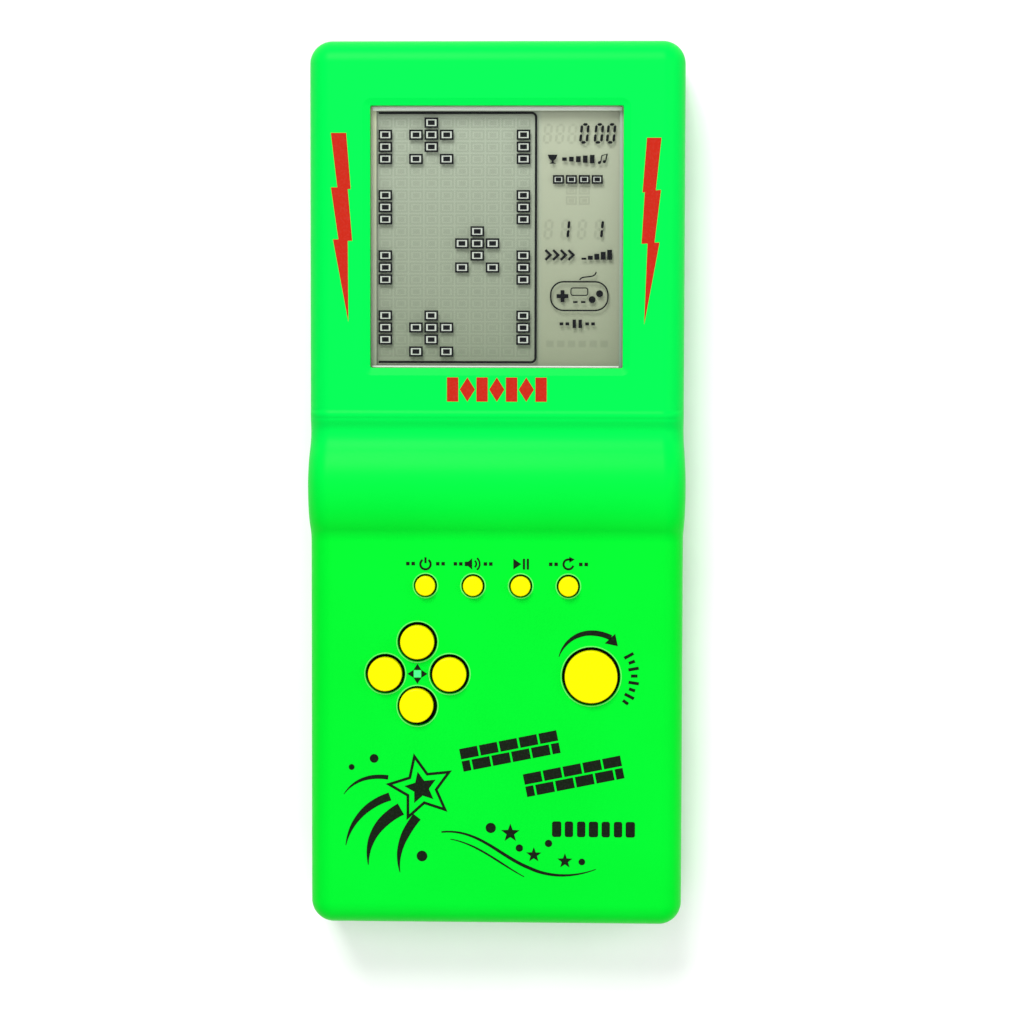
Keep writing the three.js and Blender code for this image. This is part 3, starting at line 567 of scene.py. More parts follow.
@dataclass(frozen=True)
class Finish(Surface):
    """A moulded, painted or metal surface with its grain, unevenness and scuffs."""

    name: str
    tone: Colour
    second: Colour
    roughness: float = 0.45
    metallic: float = 0.0
    specular: float = 0.5
    grain: float = 4000.0
    bump: float = 0.02
    coat: float = 0.0
    scuffs: float = 0.2

    def tone_of(self, nodes: Nodes, broad: Socket) -> Socket:
        """The base colour, uneven from its first tone to its second."""
        return nodes.mixed(nodes.spread(broad, 0.35, 0.65, 0, 1), self.tone, self.second)

    def fill(self, nodes: Nodes, shader: bpy.types.Node) -> None:
        """Sets up the colour, the roughness with its scuffs, and the grain."""
        grain = nodes.group(Groups.grain(), Scale=self.grain)
        scuffed = nodes.group(Groups.scuffs(), Amount=self.scuffs).outputs["Mask"]
        rough = nodes.spread(grain.outputs["Fine"], 0.3, 0.7, self.roughness * 0.9, self.roughness * 1.1)
        relief = {"Height": grain.outputs["Height"], "Strength": self.bump, "Distance": 0.0002}
        nodes.plug(shader, {
            "Base Color": self.tone_of(nodes, grain.outputs["Broad"]),
            "Roughness": nodes.math("MULTIPLY_ADD", scuffed, 0.2, rough),
            "Normal": nodes.add("ShaderNodeBump", relief).outputs[0],
            "Metallic": self.metallic,
            "Specular IOR Level": self.specular,
            "Coat Weight": self.coat,
        })


@dataclass(frozen=True)
class CasePlasticPaintedLight(Finish):
    """The case's green plastic with painted light: a little bluer and lighter towards the top of the
    face, standing for the brighter light there.
    """

    top: Colour = (0.0, 0.0, 0.0)
    from_y: float = 0.0
    to_y: float = 0.0

    def tone_of(self, nodes: Nodes, broad: Socket) -> Socket:
        """The green, blended along the length into the painted light of the upper face."""
        # painted light: the colour moves to the lighter, bluer top colour up the face
        share = nodes.spread(nodes.place()["Y"], self.from_y * MM, self.to_y * MM, 0, 1)
        return nodes.mixed(share, super().tone_of(nodes, broad), self.top)


@dataclass(frozen=True)
class KeyPlasticPaintedShade(Finish):
    """Key plastic with painted shade: dark below a height, where it stands in its hole."""

    shadow: Colour = (0.0, 0.0, 0.0)
    height: float = 0.0

    def tone_of(self, nodes: Nodes, broad: Socket) -> Socket:
        """The key's colour, with painted shade on its foot."""
        # painted shade: below the face the key's colour turns to the near-black shadow colour
        share = nodes.spread(nodes.place()["Z"], (self.height - 0.35) * MM, self.height * MM, 0, 1)
        return nodes.mixed(share, self.shadow, super().tone_of(nodes, broad))


@dataclass(frozen=True)
class ClearSheet(Surface):
    """Clear plastic or glass that lets the display through."""

    name: str
    tone: Colour
    haze: float
    roughness: float

    def fill(self, nodes: Nodes, shader: bpy.types.Node) -> None:
        """Sets up a nearly clear sheet that is hazier where it is scuffed."""
        scuffed = nodes.group(Groups.scuffs(), Amount=0.15).outputs["Mask"]
        nodes.plug(shader, {
            "Base Color": nodes.mixed(scuffed, self.tone, (1.0, 1.0, 1.0)),
            "Alpha": nodes.spread(scuffed, 0, 1, self.haze, self.haze * 2.5),
            "Roughness": self.roughness,
        })


@dataclass(frozen=True)
class DisplayBack(Finish):
    """The display's reflective back: greyer in the playfield, warmer in the side column."""

    side: Colour = (1.0, 1.0, 1.0)
    column_x: float = 0.0
    low_y: float = 0.0
    high_y: float = 0.0

    def tone_of(self, nodes: Nodes, broad: Socket) -> Socket:
        """The back's colour, darker towards its lower end and tinted in the side column."""
        place = nodes.place()
        fall = nodes.spread(place["Y"], self.low_y * MM, self.high_y * MM, 0, 1)
        field_tone = nodes.mixed(fall, self.second, self.tone)
        edge = (self.column_x - 0.6) * MM, (self.column_x + 0.6) * MM
        across = nodes.spread(place["X"], *edge, 0, 1)
        tinted = nodes.mixed(across, field_tone, self.side, "MULTIPLY")
        return nodes.mixed(nodes.spread(broad, 0.3, 0.7, 0, 0.06), tinted, (0.4, 0.45, 0.35))


@dataclass(frozen=True)
class BandedSleeve(Finish):
    """A cell's printed sleeve: a dark body and a bright end, split along X."""

    split: float = 0.0

    def tone_of(self, nodes: Nodes, broad: Socket) -> Socket:
        """The sleeve's two colours with a thin line between them."""
        share = nodes.spread(nodes.place()["X"], (self.split - 10) * MM, (self.split + 10) * MM, 0, 1)
        line = (0.9, 0.9, 0.88)
        stops = [(0.0, self.tone), (0.47, self.tone), (0.48, line), (0.52, line), (0.53, self.second)]
        return nodes.ramp(share, stops)


@dataclass(frozen=True)
class Ink(Surface):
    """A flat printed or switched colour, a little uneven, as thick as ink."""

    name: str
    tone: Colour
    roughness: float = 0.5
    speckle: float = 0.01

    def fill(self, nodes: Nodes, shader: bpy.types.Node) -> None:
        """Sets up the ink, with paler specks."""
        fine = nodes.group(Groups.grain(), Scale=2500).outputs["Fine"]
        paler = tuple(share + (1 - share) * self.speckle for share in self.tone)
        nodes.plug(shader, {
            "Base Color": nodes.mixed(nodes.spread(fine, 0.45, 0.8, 0, 1), self.tone, paler),
            "Roughness": self.roughness,
            "Specular IOR Level": 0.06,
        })


def dress(
    piece: bpy.types.Object,
    finish: Surface,
    body: str = "case",
    stands_for: Sequence[str] = (),
) -> bpy.types.Object:
    """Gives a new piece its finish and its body.

    Args:
        piece: The piece.
        finish: Its finish.
        body: The body that it moves with.
        stands_for: CAD nodes that it is shown instead of.

    Returns:
        The piece.
    """
    piece.data.materials.clear()
    piece.data.materials.append(finish.material())
    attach(piece, body)
    if stands_for:
        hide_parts(*stands_for)
    LOG.info("%s: %d faces on %s", piece.name, len(piece.data.polygons), body)
    return piece


def repaint(node: str, finish: Surface) -> None:
    """Gives a CAD node, whose shape stays, a better material."""
    piece = frame["nodes"][node]
    for place in piece.material_slots:
        place.material = finish.material()
    LOG.info("%s: repainted", node)


# The case's green; its top colour is painted light that makes the face lighter and bluer above the roll.
CASE_GREEN_PAINTED_LIGHT = CasePlasticPaintedLight(
    "case_green_painted_light", (0.0, 0.69, 0.024), (0.0, 0.67, 0.022), 0.36, specular=0.05, grain=5200, bump=0.05,
    scuffs=0.1, top=(0.0, 0.68, 0.066), from_y=-8, to_y=10,
)
PRINT_BLACK = Ink("print_black", (0.006, 0.011, 0.005), speckle=0.006)
PRINT_RED = Ink("print_red", (0.43, 0.016, 0.006), speckle=0.012)
PRINT_TEAL = Ink("print_teal", colour(70, 215, 130))
LCD_INK = Ink("lcd_ink", (0.0025, 0.0025, 0.005), roughness=0.6, speckle=0.002)
LCD_GLOW = Ink("lcd_glow", (0.44, 0.48, 0.42), roughness=0.6)
LENS_CLEAR = ClearSheet("lens_clear", (0.3, 0.35, 0.3), 0.012, 0.06)
GLASS_CLEAR = ClearSheet("display_glass_clear", (0.4, 0.45, 0.38), 0.015, 0.1)
# Paler green for the ring on each key hole's rim: a painted highlight.
RIM_PAINTED_HIGHLIGHT = Finish("rim_painted_highlight", (0.16, 0.72, 0.16), (0.12, 0.70, 0.12), 0.5, specular=0.1, bump=0.01)
BORDER_FILM = DisplayBack(
    "border_film", (0.49, 0.52, 0.36), (0.254, 0.298, 0.217), 0.6, specular=0.1, bump=0.01,
    low_y=24, high_y=77,
)
# Teal-grey film for the strip at the window's right: a painted reflection of the green window wall.
EDGE_PAINTED_REFLECTION = DisplayBack(
    "edge_film_painted_reflection", (0.38, 0.48, 0.38), (0.20, 0.28, 0.21), 0.6, specular=0.1, bump=0.01,
    low_y=24, high_y=77,
)
# Pale film for the strips along the window's lower and upper edges: painted highlight and painted light.
PAINTED_LIGHT_FILM = Finish("painted_light_film", (0.8, 0.85, 0.78), (0.75, 0.8, 0.72), 0.6, specular=0.1, bump=0.01)
REFLECTOR = Finish("reflector_film", (0.6, 0.62, 0.58), (0.52, 0.54, 0.5), 0.4, metallic=0.4)
STEEL = Finish(
    "screw_steel", (0.62, 0.63, 0.65), (0.5, 0.51, 0.53), 0.28, metallic=1.0, scuffs=0.8, bump=0.1,
)
NICKEL = Finish("contact_nickel", (0.75, 0.75, 0.74), (0.62, 0.62, 0.6), 0.22, metallic=1.0, scuffs=0.9)
RUBBER = Finish("strip_rubber", (0.012, 0.012, 0.013), (0.02, 0.02, 0.02), 0.7, specular=0.3)
SILICONE = Finish("key_silicone", (0.55, 0.55, 0.52), (0.48, 0.48, 0.45), 0.6, bump=0.1)
CARBON = Finish("carbon_rubber", (0.01, 0.01, 0.01), (0.02, 0.02, 0.02), 0.75, specular=0.2)
LAMINATE = Finish("board_laminate", (0.42, 0.22, 0.06), (0.33, 0.16, 0.04), 0.5, bump=0.15)
EPOXY = Finish("black_epoxy", (0.008, 0.008, 0.01), (0.012, 0.012, 0.014), 0.2, coat=0.3)
CAN_SLEEVE = Finish("capacitor_sleeve", (0.01, 0.02, 0.09), (0.02, 0.03, 0.12), 0.35)
DIPPED = Finish("dipped_ceramic", (0.55, 0.18, 0.03), (0.48, 0.15, 0.02), 0.4)
RESISTOR_BODY = Finish("resistor_body", (0.7, 0.52, 0.25), (0.64, 0.47, 0.22), 0.45)
BRASS = Finish("brass_disc", (0.8, 0.56, 0.2), (0.7, 0.48, 0.16), 0.3, metallic=1.0, scuffs=0.9)
CERAMIC = Finish("white_ceramic", (0.82, 0.8, 0.74), (0.76, 0.74, 0.68), 0.35)
RED_LEAD = Finish("red_lead", (0.5, 0.02, 0.015), (0.42, 0.015, 0.01), 0.45)
BLACK_LEAD = Finish("black_lead", (0.015, 0.015, 0.015), (0.025, 0.025, 0.025), 0.45)
FLOOR_WHITE = Finish(
    "pale_floor", (0.93, 0.93, 0.93), (0.91, 0.91, 0.91), 0.8, specular=0.1, grain=900, scuffs=0.0,
)


# ------------------------------------------------------------------------------- case


@dataclass
class CaseForm:
    """The outer form that the two halves of the case share."""

    edge_round: float = 4.6
    panel_step: float = 1.0
    bead_height: float = 0.25
    bead_half: float = 0.8
    bead_offset: float = 14.6
    roll_from_top: float = 90.0
    roll_rise: float = 3.0
    roll_reach: float = 11.0
    bulge: float = 0.4
    seam: float = 0.25
    edge_steps: int = 14

    def __post_init__(self) -> None:
        """Reads the sizes that the frame gives."""
        low, high = box_mm("front_shell")
        self.half_width = high.x - self.bulge
        self.top_y = high.y
        self.roll_y = high.y - self.roll_from_top
        self.keypad_z = high.z - self.roll_rise
        self.panel_z = self.keypad_z + self.panel_step
        self.parting_z = low.z - GAP / 2

    def face_line(self) -> list[Flat]:
        """The face's height along the length, from the lower end to the upper one."""

        def spot(share: float, rise: float) -> Flat:
            """A point of the roll, in shares of its reach and its height."""
            return self.roll_y + share * self.roll_reach, self.keypad_z + rise * self.roll_rise

        start = self.roll_y + self.bead_offset - self.bead_half
        low, high, half = self.panel_z, self.panel_z + self.bead_height, self.bead_half
        line = [(-self.top_y + self.edge_round, self.keypad_z), spot(-1.1, 0), spot(-1.04, 0)]
        for points, steps in (
            ((spot(-1.04, 0), spot(-0.96, 0), spot(-0.88, 0.08), spot(-0.8, 0.27)), 14),
            ((spot(-0.8, 0.27), spot(-0.6, 0.77), spot(-0.33, 1), spot(0, 1)), 20),
            ((spot(0, 1), spot(0.27, 1), spot(0.47, 0.73), spot(0.64, 0.43)), 18),
            ((spot(0.64, 0.43), spot(0.76, 0.2), spot(0.86, 0.04), spot(1, 0.03)), 14),
            ((spot(1, 0.03), spot(1.12, 0.02), (start - half, low), (start, low)), 10),
            (((start, low), (start + half / 2, high), (start + half, high)), 5),
            (((start + half, high), (start + 1.5 * half, high), (start + 2 * half, low)), 5),
        ):
            line += bezier(points, steps)
        return line + [(start + 2 * half + 0.3, low), (self.top_y - self.edge_round, low)]

    def rows(self, level: Callable[[float], float]) -> list[tuple[float, float, float, float]]:
        """Sections along the length.

        Args:
            level: The outer face's height for the face's height at a section.

        Returns:
            For each section its Y, its outer height, how far the side swells and its corner's angle.
        """
        line = self.face_line()
        rows = []
        for y, height in line:
            on_roll = abs(y - self.roll_y) < self.roll_reach
            swell = self.bulge * (height - self.keypad_z) / self.roll_rise if on_roll else 0.0
            rows.append((y, level(height), swell, 0.0))
        turns = [math.pi / 2 * (i + 1) / self.edge_steps for i in range(self.edge_steps)]
        lower = [(rows[0][0], rows[0][1], 0.0, -turn) for turn in reversed(turns)]
        upper = [(rows[-1][0], rows[-1][1], 0.0, turn) for turn in turns]
        return lower + rows + upper

    def block(
        self, inset: float, base: float, level: Callable[[float], float], seam: float = 0.0,
    ) -> Form:
        """Half of the case as a solid block with round outer edges.

        Args:
            inset: How far inside the outer form it stays on every side.
            base: Height of its flat inner side.
            level: The outer face's height for the face's height at a section.
            seam: Size of the bevel where the halves meet.

        Returns:
            The block.
        """
        radius = self.edge_round - inset
        rings = []
        for y, height, swell, turn in self.rows(level):
            up = 1 if height > base else -1
            reach, out = radius * math.cos(turn), radius * math.sin(turn)
            core_x = self.half_width + swell - inset - radius
            core_z = height - up * (inset + radius)
            side = core_x + reach
            right = [
                (side - seam * math.cos(turn), y + out - seam * math.sin(turn), base),
                (side, y + out, base + up * seam),
            ]
            for i in range(self.edge_steps + 1):
                bend = math.pi / 2 * i / self.edge_steps
                right.append(
                    (core_x + reach * math.cos(bend), y + out, core_z + up * reach * math.sin(bend))
                )
            left = [(-x, yy, z) for x, yy, z in reversed(right)]
            rings.append(right + left)
        count = len(rings[0])
        form = loft(rings)
        form.faces = form.faces[:-2]
        for first in (0, (len(rings) - 1) * count):
            form.faces.append(tuple(first + i for i in range(1, count - 1)))
            form.faces.append((first, first + 1, first + count - 2, first + count - 1))
        return form

    def outline(self, inset: float) -> list[Flat]:
        """The case's outline seen from above, at an inset."""
        radius = self.edge_round - inset
        right = [
            (self.half_width + swell - inset - radius * (1 - math.cos(turn)), y + radius * math.sin(turn))
            for y, _, swell, turn in self.rows(self.skin)
        ]
        return right + [(-x, y) for x, y in reversed(right)]

    def skin(self, height: float) -> float:
        """The front shell's own outer height."""
        return height


@dataclass
class KeySpec:
    """A key's sizes and the hole it stands in."""

    name: str
    radius: float
    hole: float
    lean: Flat = (0.0, 0.0)
    flange: float = 0.8

    def centre(self) -> Flat:
        """Centre of the cap."""
        return middle_of(f"key_{self.name}")

    def hole_centre(self) -> Flat:
        """Centre of the hole in the face."""
        x, y = self.centre()
        return x - self.lean[0], y - self.lean[1]


KEYS = (
    KeySpec("power", 2.0, 2.3),
    KeySpec("sound", 2.0, 2.3),
    KeySpec("start", 2.0, 2.3),
    KeySpec("restart", 2.0, 2.3),
    KeySpec("up", 3.45, 4.0),
    KeySpec("left", 3.45, 4.0),
    KeySpec("right", 3.45, 4.0),
    KeySpec("down", 3.45, 4.0, (-0.16, 0.16)),
    KeySpec("turn", 5.35, 5.9),
)


@dataclass
class Window:
    """The window in the face and the clear lens in it."""

    width: float = 51.0
    height: float = 52.7
    from_top: float = 39.6
    corner: float = 0.35
    rim_width: float = 1.5
    rim_depth: float = 0.45

    def centre(self, case: CaseForm) -> Flat:
        """Centre of the window."""
        return 0.0, case.top_y - self.from_top

    def outline(self, case: CaseForm, grow: float) -> list[Flat]:
        """The window's outline, grown on every side."""
        x, y = self.centre(case)
        corner = max(self.corner + grow, 0.2)
        return rounded(self.width + 2 * grow, self.height + 2 * grow, corner, x, y)

    def cutter(self, case: CaseForm) -> Form:
        """What is cut from the face: the opening and its sloping rim."""
        foot = case.panel_z - self.rim_depth
        past = 0.2
        levels = (
            (0.0, case.panel_z - 2 * WALL),
            (0.0, foot - 0.1),
            (0.08, foot),
            (self.rim_width, case.panel_z - 0.02),
            (self.rim_width + 0.12, case.panel_z + 0.02),
            (self.rim_width + past + 0.12, case.panel_z + past),
        )
        return loft([[(x, y, z) for x, y in self.outline(case, grow)] for grow, z in levels])


@dataclass
class Case:
    """The two halves of the case, their screws and the rims of the key holes."""

    form: CaseForm
    window: Window
    screw_head: float = 2.1
    screw_bore: float = 1.5
    boss: float = 3.0
    post: float = 2.4
    rear_boss: float = 3.7
    rim_width: float = 0.42
    rim_height: float = 0.1
    floor_of_bore: float = 7.0
    sound_hole: float = 0.9
    sound_ring: float = 4.5

    def build(self) -> None:
        """Makes the shells, the rims and the screws."""
        self.front_shell()
        self.key_rims()
        self.rear_shell()
        self.screws()

    def screw_places(self) -> list[Flat]:
        """Where the six case screws stand."""
        return [middle_of(f"case_screw_{i + 1}") for i in range(6)]

    def post_places(self) -> list[Flat]:
        """Where the six board screws stand."""
        return [middle_of(f"board_screw_{i + 1}") for i in range(6)]

    def inside_z(self, y: float) -> float:
        """Height of the inside of the face at a place along the length."""
        line = self.form.face_line()
        heights = [height for place, height in line if place >= y]
        return (heights[0] if heights else line[-1][1]) - WALL

    def front_shell(self) -> None:
        """The face with its window, key holes, seam lip, bosses and posts."""
        form, base = self.form, self.form.parting_z + GAP / 2
        shell = form.block(0, base, form.skin, form.seam).piece("front_shell_skin")
        carve(shell, form.block(WALL, base - 1, form.skin), Carve.AWAY)
        post_foot = box_mm("main_board")[1].z + GAP
        stands = [pillar(x, y, self.boss, base, self.inside_z(y) + 1, 32) for x, y in self.screw_places()]
        stands += [
            pillar(x, y, self.post, post_foot, self.inside_z(y) + 1) for x, y in self.post_places()
        ]
        carve(shell, forms(stands), Carve.ON)
        cuts = [
            pillar(
                *key.hole_centre(), key.hole + self.rim_width / 2,
                form.keypad_z - 3.5, form.keypad_z + 2, 64,
            )
            for key in KEYS
        ]
        cuts += [pillar(x, y, self.screw_bore, base - 1, base + 6.3) for x, y in self.screw_places()]
        carve(shell, forms(cuts + [self.window.cutter(form)]), Carve.AWAY)
        shade(shell)
        dress(shell, CASE_GREEN_PAINTED_LIGHT, stands_for=["front_shell"])
        lip = band(form.outline(0.9), form.outline(1.7), form.parting_z - 1.2, form.parting_z + 2)
        dress(lip.piece("seam_lip"), CASE_GREEN_PAINTED_LIGHT)

    def key_rims(self) -> None:
        """A soft raised edge round each key hole, with a painted highlight ring of paler green along its
        top.
        """
        top, width, height, foot = self.form.keypad_z, self.rim_width, self.rim_height, 0.25
        rims, lines = [], []
        for key in KEYS:
            inner = key.hole
            profile = [(inner, top - WALL), (inner, top - foot)]
            for i in range(1, 7):
                bend = math.pi / 2 * i / 6
                profile.append(
                    (inner + foot * (1 - math.cos(bend)), top - foot + (foot + height) * math.sin(bend))
                )
            profile += [
                (inner + 0.6 * width, top + 0.85 * height),
                (inner + 0.85 * width, top + 0.35 * height),
                (inner + width, top - 0.01),
                (inner + width / 2, top - WALL),
            ]
            rims.append(lathe(profile, *key.hole_centre(), 72))
            # A paler ring along the top of each rim: painted highlight.
            low, high, outer = top + 0.5 * height, top + height + 0.03, inner + 0.3
            section = [(inner + 0.12, low), (inner + 0.12, high), (outer, high), (outer, low)]
            lines.append(lathe(section, *key.hole_centre(), 72))
        piece = forms(rims).piece("key_hole_rims")
        shade(piece, 50)
        dress(piece, CASE_GREEN_PAINTED_LIGHT)
        dress(forms(lines).piece("key_hole_painted_highlights"), RIM_PAINTED_HIGHLIGHT)

    def rear_shell(self) -> None:
        """The back with its battery bay, screw bores, sound holes and thumb hollow."""
        form, base = self.form, self.form.parting_z - GAP / 2
        shell = form.block(0, base, lambda height: 0.0, form.seam).piece("rear_shell_skin")
        carve(shell, form.block(WALL, base + 1, lambda height: 0.0), Carve.AWAY)
        bay = BatteryBay()
        carve(shell, bay.walls(), Carve.ON)
        bosses = [pillar(x, y, self.rear_boss, WALL / 2, base, 32) for x, y in self.screw_places()]
        low, high = box_mm("sounder_disc")
        centre = middle_of("sounder_disc")
        ring = high.x - centre[0] + GAP
        seat = lathe([
            (ring - 1.3, WALL / 2), (ring + 1, WALL / 2), (ring + 1, high.z + 0.8), (ring, high.z + 0.8),
            (ring, low.z - GAP), (ring - 1.3, low.z - GAP),
        ], *centre)
        carve(shell, forms(bosses + [seat]), Carve.ON)
        for cutter in bay.cutters():
            carve(shell, cutter, Carve.AWAY)
        head, bore, hole = self.screw_head + GAP, self.screw_bore, self.sound_hole
        bore_line = [
            (0, -1), (head + 0.3, -1), (head + 0.3, 0), (head, 0.3), (head, self.floor_of_bore),
            (bore, self.floor_of_bore), (bore, base + 1), (0, base + 1),
        ]
        hole_line = [
            (0, -1), (hole + 0.2, -1), (hole + 0.2, 0), (hole, 0.2), (hole, WALL + 1), (0, WALL + 1),
        ]
        sound_places = [centre] + arc(centre, self.sound_ring, 0, 300, 5)
        cuts = [lathe(bore_line, x, y) for x, y in self.screw_places()]
        cuts += [lathe(hole_line, x, y, 32) for x, y in sound_places]
        carve(shell, forms(cuts), Carve.AWAY)
        shade(shell)
        dress(shell, CASE_GREEN_PAINTED_LIGHT, stands_for=["rear_shell"])

    def screws(self) -> None:
        """Six pan-head screws with cross recesses."""
        for i, (x, y) in enumerate(self.screw_places()):
            name = f"case_screw_{i + 1}"
            low, high = box_mm(name)
            head, rise = self.screw_head, 1.6
            profile = [(0, low.z), (0.55 * head, low.z)]
            for k in range(1, 7):
                bend = math.pi / 2 * k / 6
                across, up = 0.55 + 0.45 * math.sin(bend), 0.6 * rise * (1 - math.cos(bend))
                profile.append((across * head, low.z + up))
            profile += [(head, low.z + rise), (1.2, low.z + rise), (1.2, high.z - 1.2), (0, high.z)]
            screw = lathe(profile, x, y, 40).piece(f"{name}_fine")
            arm, half = 0.6 * head, 0.27
            for wide, tall in ((arm, half), (half, arm)):
                slot = block((x - wide, y - tall, low.z - 1), (x + wide, y + tall, low.z + 0.8))
                carve(screw, slot, Carve.AWAY)
            shade(screw)
            dress(screw, STEEL, stands_for=[name])


@dataclass
class BatteryBay:
    """The bay for two cells, its door, its contacts and the cells."""

    wall: float = 1.5
    ceiling: float = 0.9
    ledge: float = 1.5
    tongue_x: float = 16.0
    tongue_width: float = 8.0
    tongue_thickness: float = 0.8
    tongue_reach: float = 2.6
    latch_width: float = 12.0
    latch_height: float = 3.0
    latch_thickness: float = 1.2
    thumb_radius: float = 9.0
    thumb_depth: float = 1.2
    thumb_beyond: float = 1.5
    tab_width: float = 3.0
    corner: float = 1.2
    groove_count: int = 7
    groove_pitch: float = 1.6

    def __post_init__(self) -> None:
        """Reads the cells', contacts' and door's places from the frame."""
        cell_low, cell_high = box_mm("battery_1"), box_mm("battery_2")
        self.half = box_mm("contact_bridge")[1].x + GAP
        self.low_y = cell_low[0].y - GAP
        self.high_y = cell_high[1].y + GAP
        self.ceiling_z = cell_low[1].z + GAP
        self.axis_z = (cell_low[0].z + cell_low[1].z) / 2
        self.row_y = [(low.y + high.y) / 2 for low, high in (cell_low, cell_high)]
        hinge = next(joint for joint in frame["joints"] if joint["name"] == "door_hinge")
        self.hinge_y, self.hinge_z = (value / MM for value in hinge["pos_m"][1:])
        door_low, door_high = box_mm("battery_door")
        self.door_half = door_high.x
        self.door_top = door_high.y
        self.door_z = door_low.z
        self.door_thickness = 2 * (self.hinge_z - door_low.z)
        self.door_bottom = self.hinge_y - self.door_thickness / 2

    def walls(self) -> Form:
        """The bay's walls and the ledge that the door rests on, before they are cut."""
        ledge_x = self.door_half + self.wall
        ledge = block(
            (-ledge_x, self.door_bottom - self.wall, WALL / 2),
            (ledge_x, self.door_top + self.wall, WALL + self.ledge),
        ).piece("bay_ledge")
        bay = block(
            (-self.half - self.wall, self.low_y - self.wall, WALL / 2),
            (self.half + self.wall, self.high_y + self.wall, self.ceiling_z + self.ceiling),
        )
        carve(ledge, bay, Carve.ON)
        return form_of(ledge)

    def cutters(self) -> list[Form]:
        """What is cut out of the back, in groups that don't overlap."""
        seat_z = self.door_z + self.door_thickness + GAP
        pocket = block((-self.half, self.low_y, -1), (self.half, self.high_y, self.ceiling_z))
        middle_y = (self.door_bottom + self.door_top) / 2
        seat_size = 2 * (self.door_half + GAP), self.door_top - self.door_bottom + 2 * GAP
        seat = prism(rounded(*seat_size, self.corner + GAP, 0, middle_y), -1, seat_z)
        tongue_half = self.tongue_width / 2 + GAP
        sweep = self.tongue_reach + self.tongue_thickness + 2 * GAP
        deep, shallow = [], []
        for x in (-self.tongue_x, self.tongue_x):
            left, right, end = x - tongue_half, x + tongue_half, self.low_y + 1
            deep.append(block(
                (left, self.hinge_y - sweep, WALL), (right, end, self.hinge_z + sweep + GAP),
            ))
            shallow.append(block((left, self.door_bottom - GAP, WALL / 2), (right, end, WALL + 1)))
        latch = block(
            (-self.latch_width / 2 - GAP, self.door_top - self.latch_thickness - 2 * GAP, -1),
            (self.latch_width / 2 + GAP, self.door_top + GAP, seat_z + self.latch_height + GAP),
        )
        tabs = [
            block(
                (-self.half - self.wall - 1, y - self.tab_width / 2 - GAP, self.axis_z - self.tab_width),
                (-self.half + 1, y + self.tab_width / 2 + GAP, self.axis_z + self.tab_width),
            )
            for y in self.row_y
        ]
        radius, ball = self.thumb_radius, []
        for k in range(41):
            bend = math.pi * k / 40
            level = self.thumb_depth - radius - radius * math.cos(bend)
            ball.append((max(radius * math.sin(bend), 0), level))
        thumb = lathe(ball, 0, self.door_top + self.thumb_beyond, 64)
        return [pocket, seat, forms(deep), forms(shallow), forms([latch] + tabs), thumb]

    def build(self) -> None:
        """Makes the door, the cells and the contacts."""
        self.door()
        self.cells()
        self.contacts()

    def door(self) -> None:
        """The door with its round hinge edge, tongues, latch and grip grooves."""
        z0, z1 = self.door_z, self.door_z + self.door_thickness
        half, radius = self.door_half, self.door_thickness / 2
        section = []
        for k in range(17):
            turn = math.pi * k / 16
            section.append(
                (self.hinge_y - radius * math.sin(turn), self.hinge_z + radius * math.cos(turn))
            )
        section += [(self.door_top - 0.25, z0), (self.door_top, z0 + 0.25), (self.door_top, z1)]
        door = loft([[(x, y, z) for y, z in section] for x in (-half, half)]).piece("battery_door_skin")
        length = 2 * (self.door_top - self.hinge_y)
        outside = band(
            rounded(2 * half + 8, length + 8, self.corner + 4, 0, self.hinge_y),
            rounded(2 * half, length, self.corner, 0, self.hinge_y),
            z0 - 1, z1 + 1,
        )
        carve(door, outside, Carve.AWAY)
        lift, root, tip = WALL + GAP, self.hinge_y + 1, self.hinge_y - self.tongue_reach
        over = lift + self.tongue_thickness
        tongue = [
            (root, z1 - 0.5), (self.hinge_y - 0.2, z1 - 0.5), (self.hinge_y - 0.2, lift),
            (tip + 0.2, lift), (tip, lift + 0.2), (tip, over - 0.1), (tip + 0.1, over), (root, over),
        ]
        edge = self.door_top - GAP
        back, high = edge - self.latch_thickness, z1 + self.latch_height
        latch = [
            (back, z1 - 0.5), (edge, z1 - 0.5), (edge, z1 + 0.8), (edge, high - 0.5), (edge - 0.4, high),
            (back, high),
        ]
        for profile, x, width in (
            (tongue, -self.tongue_x, self.tongue_width),
            (tongue, self.tongue_x, self.tongue_width),
            (latch, 0.0, self.latch_width),
        ):
            sides = x - width / 2, x + width / 2
            carve(door, loft([[(side, y, z) for y, z in profile] for side in sides]), Carve.ON)
        grooves = []
        for i in range(self.groove_count):
            y = self.door_top - 3.2 - i * self.groove_pitch
            reach = 9.0 - 0.9 * i
            cut = [(y - 0.45, z0 - 0.2), (y + 0.45, z0 - 0.2), (y, z0 + 0.35)]
            grooves.append(loft([[(x, u, z) for u, z in cut] for x in (-reach, reach)]))
        carve(door, forms(grooves), Carve.AWAY)
        shade(door)
        dress(door, CASE_GREEN_PAINTED_LIGHT, "battery_door", ["battery_door"])

